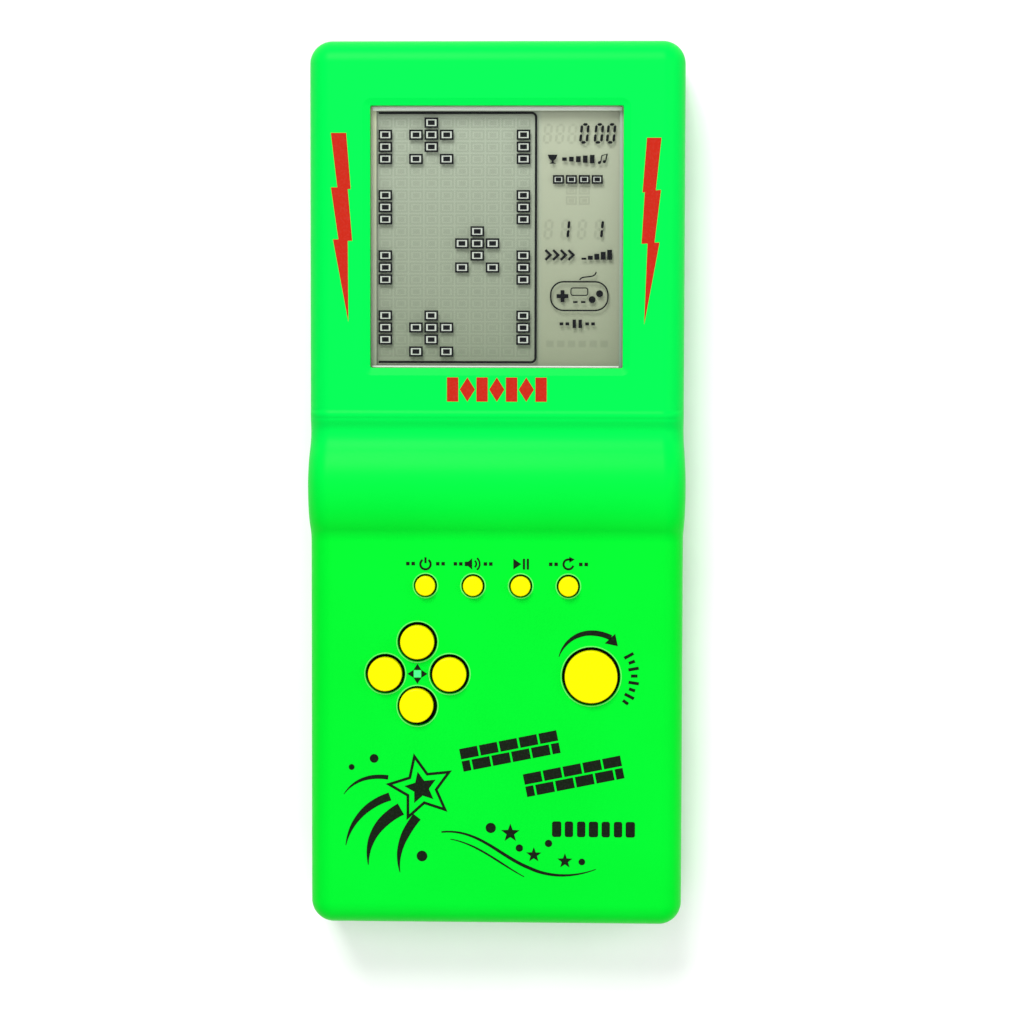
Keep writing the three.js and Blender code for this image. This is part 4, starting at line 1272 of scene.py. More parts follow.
    def cells(self) -> None:
        """Two cells, each with its sleeve, bare ends and raised contact."""
        for name, sign in (("battery_1", 1), ("battery_2", -1)):
            low, high = box_mm(name)
            y, z = (low.y + high.y) / 2, (low.z + high.z) / 2
            radius, length = (high.z - low.z) / 2, high.x - low.x
            profile = [
                (0, 0), (4.6, 0), (4.6, 0.15), (radius - 0.9, 0.3), (radius - 0.35, 0.12),
                (radius - 0.08, 0.3), (radius - 0.08, 0.8),
                (radius, 0.85), (radius, length - 2.2), (radius - 0.1, length - 1.8),
                (radius - 0.6, length - 1.35),
                (radius - 1.2, length - 1.3), (3.15, length - 1.15), (2.75, length - 0.95),
                (2.75, length - 0.15), (2.6, length), (0, length),
            ]
            turn = Matrix.Rotation(math.radians(90 * sign), 4, "Y")
            start = low.x if sign > 0 else high.x
            place = Matrix.Translation((start, y, z)) @ turn
            cell = lathe(profile, 0, 0, 64).moved(place).piece(f"{name}_fine")
            shade(cell, 40)
            tones = [(0.012, 0.013, 0.016), (0.55, 0.22, 0.05)][::sign]
            split = start + sign * length * 0.68
            sleeve = BandedSleeve(f"{name}_sleeve", *tones, 0.28, metallic=0.2, coat=0.5, split=split)
            dress(cell, sleeve, stands_for=[name])
            cell.data.materials.append(NICKEL.material())
            for polygon in cell.data.polygons:
                along = abs(polygon.center.x / MM - start)
                polygon.material_index = 1 if along < 0.82 or along > length - 1.4 else 0

    def contacts(self) -> None:
        """Spring and plate contacts, with the springs' coils round."""
        first, second = self.row_y
        thick, size, half_tab = 0.4, 9.0, self.tab_width / 2
        inner = self.half - GAP - thick
        for name, sign, rows, springs, dimples in (
            ("contact_negative", -1, [first], [first], []),
            ("contact_positive", -1, [second], [], [second]),
            ("contact_bridge", 1, [first, second], [second], [first]),
        ):
            middle, spread = (min(rows) + max(rows)) / 2, max(rows) - min(rows)
            outline = rounded(spread + size, size, 0.8, middle, self.axis_z)
            plate = loft([[(sign * x, u, v) for u, v in outline] for x in (inner, inner + thick)])
            plate.add(*(self.spring(sign, y, inner + 0.05) for y in springs))
            plate.add(*(self.dimple(sign, y, inner) for y in dimples))
            if sign < 0:
                low = box_mm(name)[0]
                plate.add(block(
                    (low.x, rows[0] - half_tab, self.axis_z - 0.2),
                    (-inner - 0.2, rows[0] + half_tab, self.axis_z + 0.2),
                ))
            made = plate.piece(f"{name}_fine")
            shade(made, 40)
            dress(made, NICKEL, stands_for=[name])

    def spring(self, sign: int, y: float, start: float) -> Form:
        """A tapering coil that presses on a cell's flat end."""
        turns, per_turn, wire, travel = 4.0, 28, 0.35, 5.65
        count = int(turns * per_turn)
        line = []
        for i in range(count + 1):
            share = i / count
            angle = 2 * math.pi * turns * share
            radius = 3.8 + (2.75 - 3.8) * share
            along = max(0.0, (share - 0.2) / 0.8)
            across, up = y + radius * math.cos(angle), self.axis_z + radius * math.sin(angle)
            line.append((sign * (start - 0.3 - along * travel), across, up))
        return tube(line, wire, 10)

    def dimple(self, sign: int, y: float, inner: float) -> Form:
        """The pressed round on a plate that meets a cell's raised end."""
        radius, rise = 2.4, 0.22
        profile = [(0, rise)]
        for k in range(1, 9):
            bend = math.pi / 2 * k / 8
            profile.append((radius * math.sin(bend), rise * math.cos(bend)))
        profile += [(radius, -0.1), (0, -0.1)]
        turn = Matrix.Rotation(math.radians(-90 * sign), 4, "Y")
        place = Matrix.Translation((sign * inner, y, self.axis_z)) @ turn
        return lathe(profile, 0, 0, 32).moved(place)


# ------------------------------------------------------------------------------- keys


@dataclass
class Keypad:
    """The nine yellow caps, the mat below them and its carbon pills."""

    form: CaseForm
    corner: float = 0.42
    dome: float = 0.1
    sheet_height: float = 0.65
    mat_wall: float = 0.5
    roof: float = 0.25
    pressed_share: float = 0.4

    def finish(self) -> KeyPlasticPaintedShade:
        """Bright yellow plastic, with painted shade below the face."""
        # The shadow colour is painted shade on the part of each cap below the face.
        return KeyPlasticPaintedShade(
            "key_yellow_painted_shade", (0.93, 0.80, 0.0), (0.90, 0.76, 0.0), 0.3, specular=0.06, grain=6000,
            bump=0.03, scuffs=0.1, shadow=(0.006, 0.006, 0.004), height=self.form.keypad_z - 0.05,
        )

    def build(self) -> None:
        """Makes the caps and the mat, and repaints the pills."""
        for key in KEYS:
            self.cap(key)
            repaint(f"pill_{key.name}", CARBON)
        self.mat()

    def mat(self) -> None:
        """The silicone mat: a sheet on the board, open under each key for its dome."""
        low, high = box_mm("key_mat")
        outline = rounded(high.x - low.x, high.y - low.y, 2, *middle_of("key_mat"))
        sheet = prism(outline, low.z, low.z + self.sheet_height).piece("key_mat_sheet")
        holes = []
        for key in KEYS:
            reach = key.radius + key.flange + 0.1
            holes.append(pillar(*key.hole_centre(), reach, low.z - 1, high.z, 48))
            self.mat_dome(key, low.z, high.z)
        carve(sheet, forms(holes), Carve.AWAY)
        dress(sheet, SILICONE, stands_for=["key_mat"])

    def mat_dome(self, key: KeySpec, foot: float, top: float) -> None:
        """The hollow dome under one key; on the real mat it flattens as the key goes in."""
        wide, crown = key.radius + key.flange, 0.6 * key.radius + GAP
        wall, inside, ledge = self.mat_wall, wide - 2 * self.mat_wall, foot + self.sheet_height
        profile = [
            (0, top), (crown + wall, top), (wide - wall, ledge), (wide, ledge), (wide, foot),
            (inside, foot), (inside, foot + wall / 2), (crown, top - self.roof), (0, top - self.roof),
        ]
        x, y = key.hole_centre()
        piece = lathe(profile, x, y).piece(f"key_mat_dome_{key.name}")
        shade(piece, 30)
        dress(piece, SILICONE)
        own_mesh(piece)

    def cap(self, key: KeySpec) -> None:
        """One cap: a stem with a flat crown and round edge, and its flange."""
        node = f"key_{key.name}"
        low, high = box_mm(node)
        top, foot = high.z, low.z
        radius, flange = key.radius, key.radius + key.flange
        profile = [
            (0, foot), (flange - 0.1, foot), (flange, foot + 0.1), (flange, foot + 0.7),
            (flange - 0.1, foot + 0.8), (radius, foot + 0.8),
        ]
        edge_z = top - self.dome - self.corner
        for i in range(9):
            bend = math.pi / 2 * i / 8
            inward, up = 1 - math.cos(bend), math.sin(bend)
            profile.append((radius - self.corner * inward, edge_z + self.corner * up))
        flat = radius - self.corner
        for i in range(1, 6):
            share = 1 - i / 6
            profile.append((flat * share, top - self.dome * share * share))
        profile.append((0, top))
        piece = lathe(profile, *key.centre(), 72).piece(f"{node}_cap")
        shade(piece, 40)
        dress(piece, self.finish(), f"{key.name}_key", [node])


# ---------------------------------------------------------------------------- display


class Segment(Enum):
    """The seven bars of a digit."""

    TOP = "a"
    UPPER_RIGHT = "b"
    LOWER_RIGHT = "c"
    BOTTOM = "d"
    LOWER_LEFT = "e"
    UPPER_LEFT = "f"
    MIDDLE = "g"


@dataclass
class Digit:
    """A slanted seven-bar digit."""

    x: float
    y: float
    width: float = 1.3
    height: float = 3.6
    bar: float = 0.54
    slant: float = 0.1

    def bars(self) -> dict[Segment, list[Flat]]:
        """The outline of each bar."""
        w, h, b = self.width / 2, self.height / 2, self.bar

        def place(points: Sequence[Flat]) -> list[Flat]:
            """Points leant over and set in place."""
            return [(self.x + px + py * self.slant, self.y + py) for px, py in points]

        def level(y: float) -> list[Flat]:
            """A bar lying across."""
            end, half = w - 0.12, b / 2
            upper = [(-end, y), (half - end, y + half), (end - half, y + half)]
            return place(upper + [(end, y), (end - half, y - half), (half - end, y - half)])

        def upright(x: float, low: float, high: float) -> list[Flat]:
            """A bar standing up."""
            half = b / 2
            right = [(x, low), (x + half, low + half), (x + half, high - half)]
            return place(right + [(x, high), (x - half, high - half), (x - half, low + half)])

        return {
            Segment.TOP: level(h),
            Segment.MIDDLE: level(0),
            Segment.BOTTOM: level(-h),
            Segment.UPPER_RIGHT: upright(w, 0.1, h - 0.1),
            Segment.LOWER_RIGHT: upright(w, -h + 0.1, -0.1),
            Segment.UPPER_LEFT: upright(-w, 0.1, h - 0.1),
            Segment.LOWER_LEFT: upright(-w, -h + 0.1, -0.1),
        }


NUMERALS = {"0": "abcdef", "1": "bc", " ": ""}

LIT_CELLS = (
    "...#......",
    "#.###....#",
    "#..#.....#",
    "#.#.#....#",
    "..........",
    "..........",
    "#........#",
    "#........#",
    "#........#",
    "......#...",
    ".....###..",
    "#.....#..#",
    "#....#.#.#",
    "#........#",
    "..........",
    "..........",
    "#..#.....#",
    "#.###....#",
    "#..#.....#",
    "..#.#.....",
)


@dataclass
class Display:
    """The liquid-crystal display: its glass, its border and everything it can show."""

    form: CaseForm
    window: Window
    ink: float = 0.018
    first_cell: Flat = (-22.67, 73.54)
    pitch: Flat = (3.11, 2.432)
    cell: Flat = (2.78, 2.08)
    cell_line: float = 0.36
    core: Flat = (1.4, 0.95)
    frame_left: float = -24.0
    frame_right: float = 7.85
    frame_top: float = 75.5
    frame_bottom: float = 25.2
    frame_line: float = 0.46
    column_x: float = 16.3
    top_tone: Colour = (0.361, 0.417, 0.319)
    low_tone: Colour = (0.215, 0.259, 0.176)
    side_tint: Colour = (1.14, 1.08, 1.03)
    preview: Flat = (12.4, 62.12)
    preview_pitch: Flat = (2.61, 2.1)
    preview_cell: Flat = (2.25, 1.75)

    def __post_init__(self) -> None:
        """Finds the level of the inks, on the front glass, and of what shows unlit, on the rear one."""
        self.level = box_mm("lcd_front_glass")[1].z + 0.01
        self.drop = box_mm("lcd_rear_glass")[1].z + 0.01 - self.level

    def back(self, name: str, share: float) -> DisplayBack:
        """The display's back, or what an unlit sign shows of it.

        Args:
            name: Name of the finish.
            share: How bright it is beside the back itself.

        Returns:
            The finish.
        """
        top, low = (tuple(share * value for value in tone) for tone in (self.top_tone, self.low_tone))
        return DisplayBack(
            name, top, low, 0.6, specular=0.2, grain=3000, scuffs=0.0, side=self.side_tint,
            column_x=self.frame_right + 0.7, low_y=self.frame_bottom, high_y=self.frame_top,
        )

    def flat(self, outline: Sequence[Flat]) -> Form:
        """A filled shape of ink."""
        return prism(outline, self.level, self.level + self.ink)

    def tile(self, x: float, y: float, width: float, height: float) -> Form:
        """A filled rectangle of ink, centred on x, y."""
        return self.flat(oblong(x, y, width, height))

    def stroke(self, line: Sequence[Flat], width: float, loop: bool = False) -> Form:
        """A line of ink."""
        return ribbon(line, [width], self.level, self.level + self.ink, loop)

    def brick(self, x: float, y: float, size: Flat) -> Form:
        """One cell: a ring round a solid core."""
        width, height = size
        inner = oblong(x, y, width - 2 * self.cell_line, height - 2 * self.cell_line)
        ring = band(oblong(x, y, width, height), inner, self.level, self.level + self.ink)
        across, up = self.core[0] * width / self.cell[0], self.core[1] * height / self.cell[1]
        return ring.add(self.tile(x, y, across, up))

    def numbers(self) -> tuple[list[Form], list[Form]]:
        """Lit and unlit bars of every digit."""
        lit, ghost = [], []
        tops = [(10.2 + 2.47 * i + (0.45 if i > 3 else 0), 71.36) for i in range(6)]
        lower = [(10.4 + 3.4 * i, 52.1) for i in range(4)]
        for places, shown in ((tops, "   000"), (lower, " 1 1")):
            for (x, y), sign in zip(places, shown):
                for name, outline in Digit(x, y).bars().items():
                    (lit if name.value in NUMERALS[sign] else ghost).append(self.flat(outline))
        return lit, ghost

    def places(self) -> tuple[list[tuple[Flat, Flat]], list[tuple[Flat, Flat]]]:
        """Centre and size of the lit and of the unlit cells, in the playfield and the preview."""
        lit, ghost = [], []
        for j, row in enumerate(LIT_CELLS):
            for i, sign in enumerate(row):
                x, y = self.first_cell[0] + i * self.pitch[0], self.first_cell[1] - j * self.pitch[1]
                (lit if sign == "#" else ghost).append(((x, y), self.cell))
        (x, y), (dx, dy) = self.preview, self.preview_pitch
        lit += [((x + dx * i, y), self.preview_cell) for i in range(4)]
        ghost += [((x + dx * i, y - dy * j), self.preview_cell) for j in (1, 2) for i in (1, 2)]
        return lit, ghost

    def cells(self) -> tuple[list[Form], list[Form]]:
        """Lit and unlit cells."""
        lit, ghost = self.places()
        return tuple([self.brick(*place, size) for place, size in row] for row in (lit, ghost))

    def signs(self) -> tuple[list[Form], list[Form]]:
        """Small generic signs in the side column, lit and unlit."""
        lit, ghost = [], []
        # a cup for the best result, with a bar scale, and a note for the sound
        lit.append(self.flat([
            (10.2, 67.1), (12.2, 67.1), (11.9, 66.3), (11.4, 65.9), (11.4, 65.6), (11.9, 65.3),
            (10.5, 65.3), (11.0, 65.6), (11.0, 65.9), (10.5, 66.3),
        ]))
        for i in range(5):
            lit.append(self.tile(13.6 + 1.4 * i, 66.2, 0.95, 0.7 + 0.25 * i))
        lit.append(self.stroke([(20.9, 65.5), (21.15, 66.9), (22.2, 67.2), (21.9, 65.7)], 0.22))
        lit.append(self.flat(arc((20.65, 65.5), 0.33, 0, 324, 9)))
        lit.append(self.flat(arc((21.65, 65.7), 0.33, 0, 324, 9)))
        # chevrons for the speed, steps for the level
        for i in range(4):
            x = 9.8 + 1.55 * i
            lit.append(self.stroke([(x, 47.9), (x + 1.05, 46.9), (x, 45.9)], 0.5))
        for i in range(5):
            lit.append(self.tile(17.6 + 1.3 * i, 45.95 + 0.2 * (i + 1), 1.0, 0.4 * (i + 1)))
        # a hand-held pad with its lead
        x, y = self.column_x + 0.4, 38.6
        lit.append(self.stroke(rounded(11.6, 5.8, 2.6, x, y, 7), 0.3, True))
        lit.append(self.stroke(rounded(3.4, 1.5, 0.4, x, y + 0.9, 3), 0.22, True))
        lead = bezier([(x, y + 2.9), (x, y + 4.6), (x + 3.2, y + 3.2), (x + 3.4, y + 4.9)], 12)
        lit.append(self.stroke(lead, 0.26))
        lit.append(self.tile(x - 3.4, y, 2.4, 0.8))
        lit += [self.tile(x - 3.4, y + dy, 0.8, 0.8) for dy in (0.8, -0.8)]
        for dx, dy in ((2.6, -0.7), (4.1, 0.5)):
            lit.append(self.flat(arc((x + dx, y + dy), 0.7, 0, 345, 23)))
        for dx in (-0.8, 0.8):
            lit.append(self.tile(x + dx, y - 1.2, 0.9, 0.4))
        # two bars for a rest, between short dashes
        for dx in (-0.6, 0.6):
            lit.append(self.tile(self.column_x + dx, 33.0, 0.7, 1.7))
        for dx in (-3.2, -2.0, 2.0, 3.2):
            lit.append(self.tile(self.column_x + dx, 33.0, 0.75, 0.6))
        for i in range(6):
            ghost.append(self.tile(10.75 + 2.2 * i, 28.95, 1.5, 1.3))
        return lit, ghost

    def field_frame(self) -> Form:
        """The line round the playfield, open towards its left side."""
        r = 0.9
        corner_top = arc((self.frame_right - r, self.frame_top - r), r, 90, 0, 6)
        corner_low = arc((self.frame_right - r, self.frame_bottom + r), r, 0, -90, 6)
        top = [(self.frame_left, self.frame_top), (-8.0, self.frame_top)]
        low = [(-8.0, self.frame_bottom), (self.frame_left, self.frame_bottom)]
        return self.stroke(top + corner_top + corner_low + low, self.frame_line)

    def border(self) -> None:
        """The film under the lens, open over the display: it shows as a pale edge, with a painted
        reflection at its right and painted light along its lower and upper edges.
        """
        low, high = box_mm("lcd_polarizer")
        x, y = self.window.centre(self.form)
        half, up = self.window.width / 2, self.window.height / 2
        left, right, foot, top = x - half, x + half, y - up, y + up
        inner = [(left + 1.05, foot + 0.1), (right - 0.1, foot + 0.1), (right - 0.1, top - 0.85),
                 (left + 1.05, top - 0.85)]
        outer = [(low.x, low.y), (high.x, low.y), (high.x, high.y), (low.x, high.y)]
        film = band(outer, inner, low.z, high.z)
        border = film.piece("border_film")
        dress(border, BORDER_FILM, stands_for=["lcd_polarizer"])
        under, over = high.z - 0.1, high.z + 0.02
        # A teal-grey strip at the right: painted reflection of the green window wall in the lens's edge.
        edge = block((right - 0.75, foot + 0.1, under), (right - 0.15, top - 0.85, over))
        dress(edge.piece("border_painted_reflection"), EDGE_PAINTED_REFLECTION)
        # Pale strips: a painted highlight along the lower edge, and painted light over the rim's shade
        # along the upper edge.
        line = block((left + 0.2, foot + 0.12, under), (right - 0.8, foot + 0.42, over))
        line.add(block((left + 0.3, top - 0.8, under), (right - 0.3, top - 0.1, over + 0.01)))
        dress(line.piece("border_painted_light"), PAINTED_LIGHT_FILM)

    def lens(self) -> None:
        """The clear lens: its flange behind the face and its raised field in the window."""
        low, high = box_mm("screen_lens")
        flange_z = self.form.panel_z - WALL - GAP
        wide = high.x - self.window.width / 2
        levels = [
            (wide, low.z), (wide, flange_z), (-GAP, flange_z), (-GAP, high.z - 0.2), (-GAP - 0.2, high.z),
        ]
        rings = [
            [(x, y, z) for x, y in self.window.outline(self.form, grow)] for grow, z in levels
        ]
        piece = loft(rings).piece("screen_lens_clear")
        shade(piece)
        dress(piece, LENS_CLEAR, stands_for=["screen_lens"])

    def build(self) -> None:
        """Makes the lens, the border and the inks, and repaints the glass."""
        self.lens()
        self.border()
        for lit, ghost, name in (
            (*self.cells(), "cells"), (*self.numbers(), "numbers"), (*self.signs(), "signs"),
        ):
            dress(forms(lit).piece(f"lcd_{name}_on"), LCD_INK)
            unlit = forms(ghost).moved(Matrix.Translation((0, 0, self.drop)))
            dress(unlit.piece(f"lcd_{name}_off"), self.back("display_unlit", 0.86))
        dress(self.field_frame().piece("lcd_field_frame"), LCD_INK)
        glow = forms(self.tile(*place, size[0] - 0.1, size[1] - 0.1) for place, size in self.places()[0])
        pale = glow.moved(Matrix.Translation((0, 0, -self.ink / 2)))
        dress(pale.piece("lcd_cells_glow"), LCD_GLOW)
        repaint("lcd_front_glass", GLASS_CLEAR)
        repaint("lcd_rear_glass", self.back("display_back", 1.0))
        repaint("lcd_reflector", REFLECTOR)
        repaint("zebra_strip", RUBBER)


# ----------------------------------------------------------------------------- prints


@dataclass
class Prints:
    """Everything printed on the face, in generic signs."""

    form: CaseForm
    ink: float = 0.03
    line: float = 0.42

    def flat(self, outline: Sequence[Flat], z: float) -> Form:
        """A filled shape of ink on the face at a height."""
        return prism(outline, z - 0.01, z + self.ink)

    def stroke(self, line: Sequence[Flat], widths: Sequence[float], z: float, loop: bool = False) -> Form:
        """A line of ink on the face at a height."""
        return ribbon(line, widths, z - 0.01, z + self.ink, loop)

    def put(self, name: str, parts: Sequence[Form], ink: Ink) -> None:
        """Makes one print of its parts."""
        dress(forms(parts).piece(name), ink)

    def build(self) -> None:
        """Prints the face."""
        self.bolts()
        self.emblem()
        self.key_signs()
        self.cross_sign()
        self.turn_sign()
        self.wall_motif()
        self.comet_motif()
        self.count_row()

    def bolts(self) -> None:
        """A red zigzag bolt on either side of the window."""
        z = self.form.panel_z
        left = [
            (-33.4, 71.25), (-30.3, 71.25), (-29.4, 60.0), (-30.0, 60.0), (-29.1, 49.6), (-30.0, 49.6),
            (-29.9, 33.3), (-33.0, 49.9), (-31.9, 49.9), (-33.4, 60.35), (-32.1, 60.35),
        ]
        right = [
            (33.1, 70.25), (30.2, 70.25), (29.35, 59.3), (29.8, 59.4), (29.2, 49.05), (30.4, 49.1),
            (29.8, 32.8), (32.8, 49.3), (31.8, 49.3), (33.05, 59.85), (32.0, 59.75),
        ]
        for name, outline in (("bolt_left", left), ("bolt_right", right)):
            self.put(f"print_{name}", [self.flat(outline, z)], PRINT_RED)

    def emblem(self) -> None:
        """A row of red bars and diamonds under the window."""
        z, y, up = self.form.panel_z, 19.7, 2.45
        parts = []
        for i in range(7):
            x = 0.15 + (i - 3) * 2.98
            if i % 2 == 0:
                parts.append(self.flat(oblong(x, y, 2.3, 2 * up), z))
            else:
                parts.append(self.flat([(x, y - up), (x + 1.55, y), (x, y + up), (x - 1.55, y)], z))
        self.put("print_emblem", parts, PRINT_RED)

    def key_signs(self) -> None:
        """A small sign over each small key: power, sound, start and pause, and restart."""
        z, y, line = self.form.keypad_z, -15.7, self.line
        parts = []
        places = {key.name: key.hole_centre()[0] for key in KEYS}
        x = places["power"]
        parts.append(self.stroke(arc((x, y - 0.1), 1.05, 125, 415, 28), [line], z))
        parts.append(self.stroke([(x, y + 0.1), (x, y + 1.3)], [line], z))
        x = places["sound"]
        parts.append(self.flat([
            (x - 1.7, y - 0.45), (x - 1.0, y - 0.45), (x - 0.2, y - 1.15), (x - 0.2, y + 1.15),
            (x - 1.0, y + 0.45), (x - 1.7, y + 0.45),
        ], z))
        parts.append(self.stroke(arc((x - 0.2, y), 0.85, -50, 50, 10), [0.34], z))
        parts.append(self.stroke(arc((x - 0.2, y), 1.55, -50, 50, 12), [0.34], z))
        x = places["start"]
        parts.append(self.flat([(x - 1.5, y - 1.1), (x + 0.1, y), (x - 1.5, y + 1.1)], z))
        for dx in (0.65, 1.45):
            parts.append(self.flat(oblong(x + dx, y, 0.44, 2.2), z))
        x = places["restart"]
        parts.append(self.stroke(arc((x, y), 1.0, 60, 345, 28), [line], z))
        parts.append(self.flat([(x + 0.15, y + 1.55), (x + 1.25, y + 1.0), (x + 0.2, y + 0.35)], z))
        for name in ("power", "sound", "restart"):
            x = places[name]
            for side in (-1, 1):
                for step in (2.5, 3.6):
                    parts.append(self.flat(oblong(x + side * step, y, 0.7, 0.7), z))
        self.put("print_key_signs", parts, PRINT_BLACK)

    def cross_sign(self) -> None:
        """Four small arrows round a square, in the middle of the cross of keys."""
        z = self.form.keypad_z
        places = {key.name: key.hole_centre() for key in KEYS}
        x = (places["left"][0] + places["right"][0]) / 2
        y = (places["up"][1] + places["down"][1]) / 2
        arrow = [(x - 0.8, y + 0.8), (x + 0.8, y + 0.8), (x, y + 2.05)]
        arrows = [self.flat(turned_flat(arrow, (x, y), turn), z) for turn in (0, 90, 180, 270)]
        self.put("print_cross_arrows", arrows, PRINT_BLACK)
        self.put("print_cross_middle", [self.flat(oblong(x, y, 1.4, 1.4), z)], PRINT_TEAL)

    def turn_sign(self) -> None:
        """A curved arrow and a row of ticks round the large key."""
        z = self.form.keypad_z
        x, y = next(key.hole_centre() for key in KEYS if key.name == "turn")
        line = []
        steps = 28
        for i in range(steps + 1):
            share = i / steps
            angle = math.radians(149 - 86 * share)
            radius = 7.65 + 1.2 * math.sin(math.pi / 2 * min(1.0, share * 1.5))
            line.append((x + radius * math.cos(angle), y + radius * math.sin(angle)))
        parts = [self.stroke(line, [0.12, 0.6, 0.95, 1.1, 1.1], z)]
        parts.append(self.flat([(x + 2.75, y + 6.75), (x + 4.85, y + 8.7), (x + 5.4, y + 6.2)], z))
        for i in range(8):
            turn = math.radians(29 - 9.4 * i)
            reach = (7.7, 9.8) if i % 2 == 0 else (8.1, 9.4)
            tick = [(x + r * math.cos(turn), y + r * math.sin(turn)) for r in reach]
            parts.append(self.stroke(tick, [0.62], z))
        self.put("print_turn_sign", parts, PRINT_BLACK)

    def wall_motif(self) -> None:
        """Two tilted courses of bricks."""
        z, tilt, joint, tall, long = self.form.keypad_z, 11.5, 0.42, 2.15, 3.7
        parts = []
        for origin, count in (((-6.5, -58.2), 5), ((6.5, -63.3), 5)):
            end = origin[0] + count * (long + joint) - joint
            for course in (0, 1):
                y = origin[1] + course * (tall + joint) + tall / 2
                start = origin[0] - (0 if course else (long + joint) / 2)
                for i in range(count + 1):
                    left = max(start + i * (long + joint), origin[0])
                    right = min(start + i * (long + joint) + long, end)
                    if right - left > joint:
                        brick = oblong((left + right) / 2, y, right - left, tall)
                        parts.append(self.flat(turned_flat(brick, origin, tilt), z))
        self.put("print_wall_motif", parts, PRINT_BLACK)

    def comet_motif(self) -> None:
        """A shooting star with its tails, and a swoosh of dots and stars beside it."""
        z = self.form.keypad_z
        parts = [
            self.stroke(star(-15.2, -61.6, 6.6, 3.1, 12), [0.55], z, True),
            self.flat(star(-15.2, -61.6, 3.4, 1.6, 12), z),
        ]
        for points, steps, widths in (
            ([(-18.6, -65.6), (-23.5, -68.0), (-26.5, -72.0), (-26.0, -77.5)], 20, [2.6, 2.2, 1.3, 0.15]),
            ([(-20.8, -63.2), (-26.0, -64.5), (-29.8, -68.5), (-30.6, -73.5)], 20, [1.7, 1.5, 0.9, 0.12]),
            ([(-15.6, -67.0), (-18.5, -70.5), (-20.5, -74.5), (-19.5, -79.0)], 20, [1.9, 1.7, 1.0, 0.12]),
            ([(-21.2, -59.6), (-25.5, -58.8), (-29.0, -60.0), (-31.0, -63.0)], 18, [0.9, 0.8, 0.5, 0.1]),
        ):
            parts.append(self.stroke(bezier(points, steps), widths, z))
        swoosh = bezier([(-12.1, -70.8), (-4.0, -69.2), (0.5, -75.4), (7.0, -77.9)], 22)
        swoosh += bezier([(7.0, -77.9), (10.5, -79.6), (15.5, -80.0), (20.5, -78.05)], 16)
        parts.append(self.stroke(swoosh, [0.3, 0.5, 0.66, 0.66, 0.5, 0.15], z))
        second = bezier([(-9.9, -72.0), (-4.0, -72.6), (1.0, -77.2), (5.9, -79.7)], 24)
        parts.append(self.stroke(second, [0.15, 0.38, 0.4, 0.15], z))
        for x, y, radius in (
            (-24.8, -55.6, 0.9), (-29.4, -57.4, 0.6), (-15.0, -75.6, 1.1), (-0.95, -69.7, 1.05),
            (4.9, -73.8, 0.75), (10.85, -72.8, 0.75), (17.65, -76.55, 0.68),
        ):
            parts.append(self.flat(arc((x, y), radius, 0, 345, 23), z))
        for x, y, radius in ((3.05, -70.75, 1.95), (7.85, -75.2, 1.6), (14.2, -76.4, 1.6)):
            parts.append(self.flat(star(x, y, radius, radius * 0.42), z))
        self.put("print_comet_motif", parts, PRINT_BLACK)

    def count_row(self) -> None:
        """A short row of bars at the lower right."""
        z, y, height = self.form.keypad_z, -69.85, 3.2
        parts = []
        for i in range(7):
            width = 1.7 if i % 3 else 1.9
            parts.append(self.flat(rounded(width, height, 0.45, 12.5 + 2.5 * i, y, 4), z))
        self.put("print_count_row", parts, PRINT_BLACK)


# -------------------------------------------------------------------------- electronics


class Electronics:
    """The board and what it carries, all inside the case."""

    FINISHES = {
        "main_board": LAMINATE,
        "chip_blob": EPOXY,
        "can_capacitor": CAN_SLEEVE,
        "disc_capacitor": DIPPED,
        "sounder_disc": BRASS,
        "sounder_ceramic": CERAMIC,
        "lead_positive": RED_LEAD,
        "lead_negative": BLACK_LEAD,
        "sounder_lead_1": RED_LEAD,
        "sounder_lead_2": BLACK_LEAD,
    }

    def build(self) -> None:
        """Repaints the CAD nodes, whose shapes stay."""
        for node, finish in self.FINISHES.items():
            repaint(node, finish)
        for i in range(3):
            repaint(f"resistor_{i + 1}", RESISTOR_BODY)
        for i in range(6):
            repaint(f"board_screw_{i + 1}", STEEL)


# -------------------------------------------------------------------------------- studio


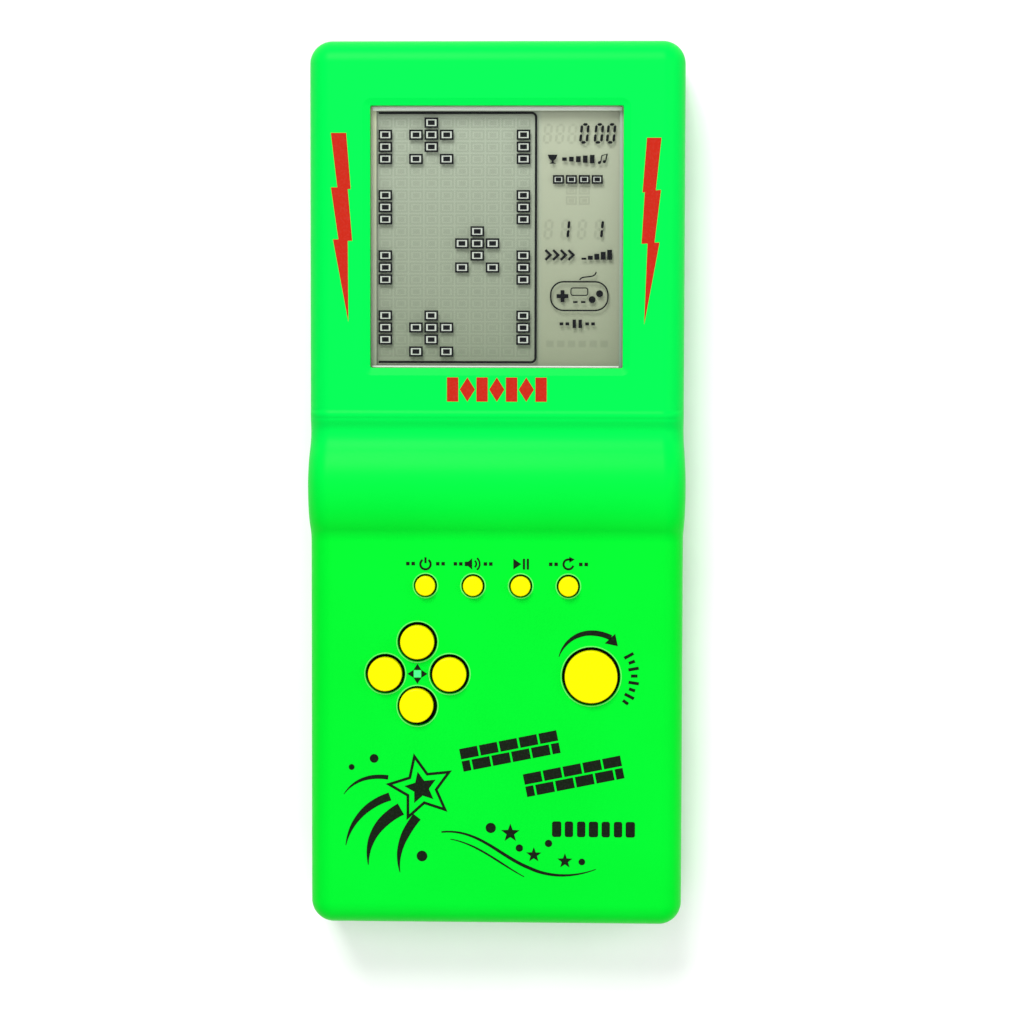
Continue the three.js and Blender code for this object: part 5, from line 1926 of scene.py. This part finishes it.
@dataclass
class Studio:
    """The floor, the soft lights and the camera."""

    camera_place: Point = (22.9, 29.0, 600.0)
    camera_turn: Point = (-3.249, 2.093, 0.243)
    lens: float = 101.5

    def build(self) -> None:
        """Sets up everything that isn't the object."""
        self.floor()
        self.lights()
        self.camera()

    def floor(self) -> None:
        """A wide pale floor just under the object."""
        half = 1500
        floor = block((-half, -half, -20), (half, half, -0.02)).piece("floor")
        floor.data.materials.append(FLOOR_WHITE.material())

    def area(self, name: str, place: Point, size: float, power: float, seen: bool = True) -> None:
        """A square soft light that looks at the object."""
        data = bpy.data.lights.new(name, "AREA")
        data.shape = "SQUARE"
        data.size = size * MM
        data.energy = power
        light = bpy.data.objects.new(name, data)
        light.location = [value * MM for value in place]
        light.rotation_euler = (-Vector(place)).to_track_quat("-Z", "Y").to_euler()
        light.visible_glossy = seen
        bpy.context.scene.collection.objects.link(light)

    def lights(self) -> None:
        """A key light from the upper left, fills and a pale surround."""
        self.area("key_light", (-200, 720, 850), 480, 10.0)
        self.area("fill_right", (900, 100, 800), 900, 4.0, False)
        self.area("fill_low", (0, -1000, 700), 900, 3.0, False)
        self.area("top_wash", (0, 0, 1500), 1200, 11.0, False)
        world = bpy.data.worlds.new("surround")
        world.use_nodes = True
        nodes = Nodes(world.node_tree)
        seen = nodes.add("ShaderNodeLightPath").outputs["Is Camera Ray"]
        strength = nodes.spread(seen, 0, 1, 0.25, 1.0)
        background = world.node_tree.nodes["Background"]
        nodes.plug(background, {"Color": (1, 1, 1, 1), "Strength": strength})
        world.cycles_visibility.glossy = False
        bpy.context.scene.world = world
        bpy.context.scene.view_settings.view_transform = "Standard"

    def camera(self) -> None:
        """The camera, nearly straight above the face."""
        data = bpy.data.cameras.new("camera")
        data.sensor_width = 36
        data.lens = self.lens
        camera = bpy.data.objects.new("camera", data)
        x, y, z = (math.radians(turn) for turn in self.camera_turn)
        turn = Matrix.Rotation(x, 4, "X") @ Matrix.Rotation(y, 4, "Y") @ Matrix.Rotation(z, 4, "Z")
        camera.matrix_world = Matrix.Translation(Vector(self.camera_place) * MM) @ turn
        bpy.context.scene.collection.objects.link(camera)
        bpy.context.scene.camera = camera


def main() -> None:
    """Builds the game's looks and its studio."""
    logging.basicConfig(level=logging.INFO, format="%(message)s")
    form = CaseForm()
    window = Window()
    Studio().build()
    Case(form, window).build()
    BatteryBay().build()
    Keypad(form).build()
    Display(form, window).build()
    Prints(form).build()
    Electronics().build()


if __name__ == "__main__":
    main()
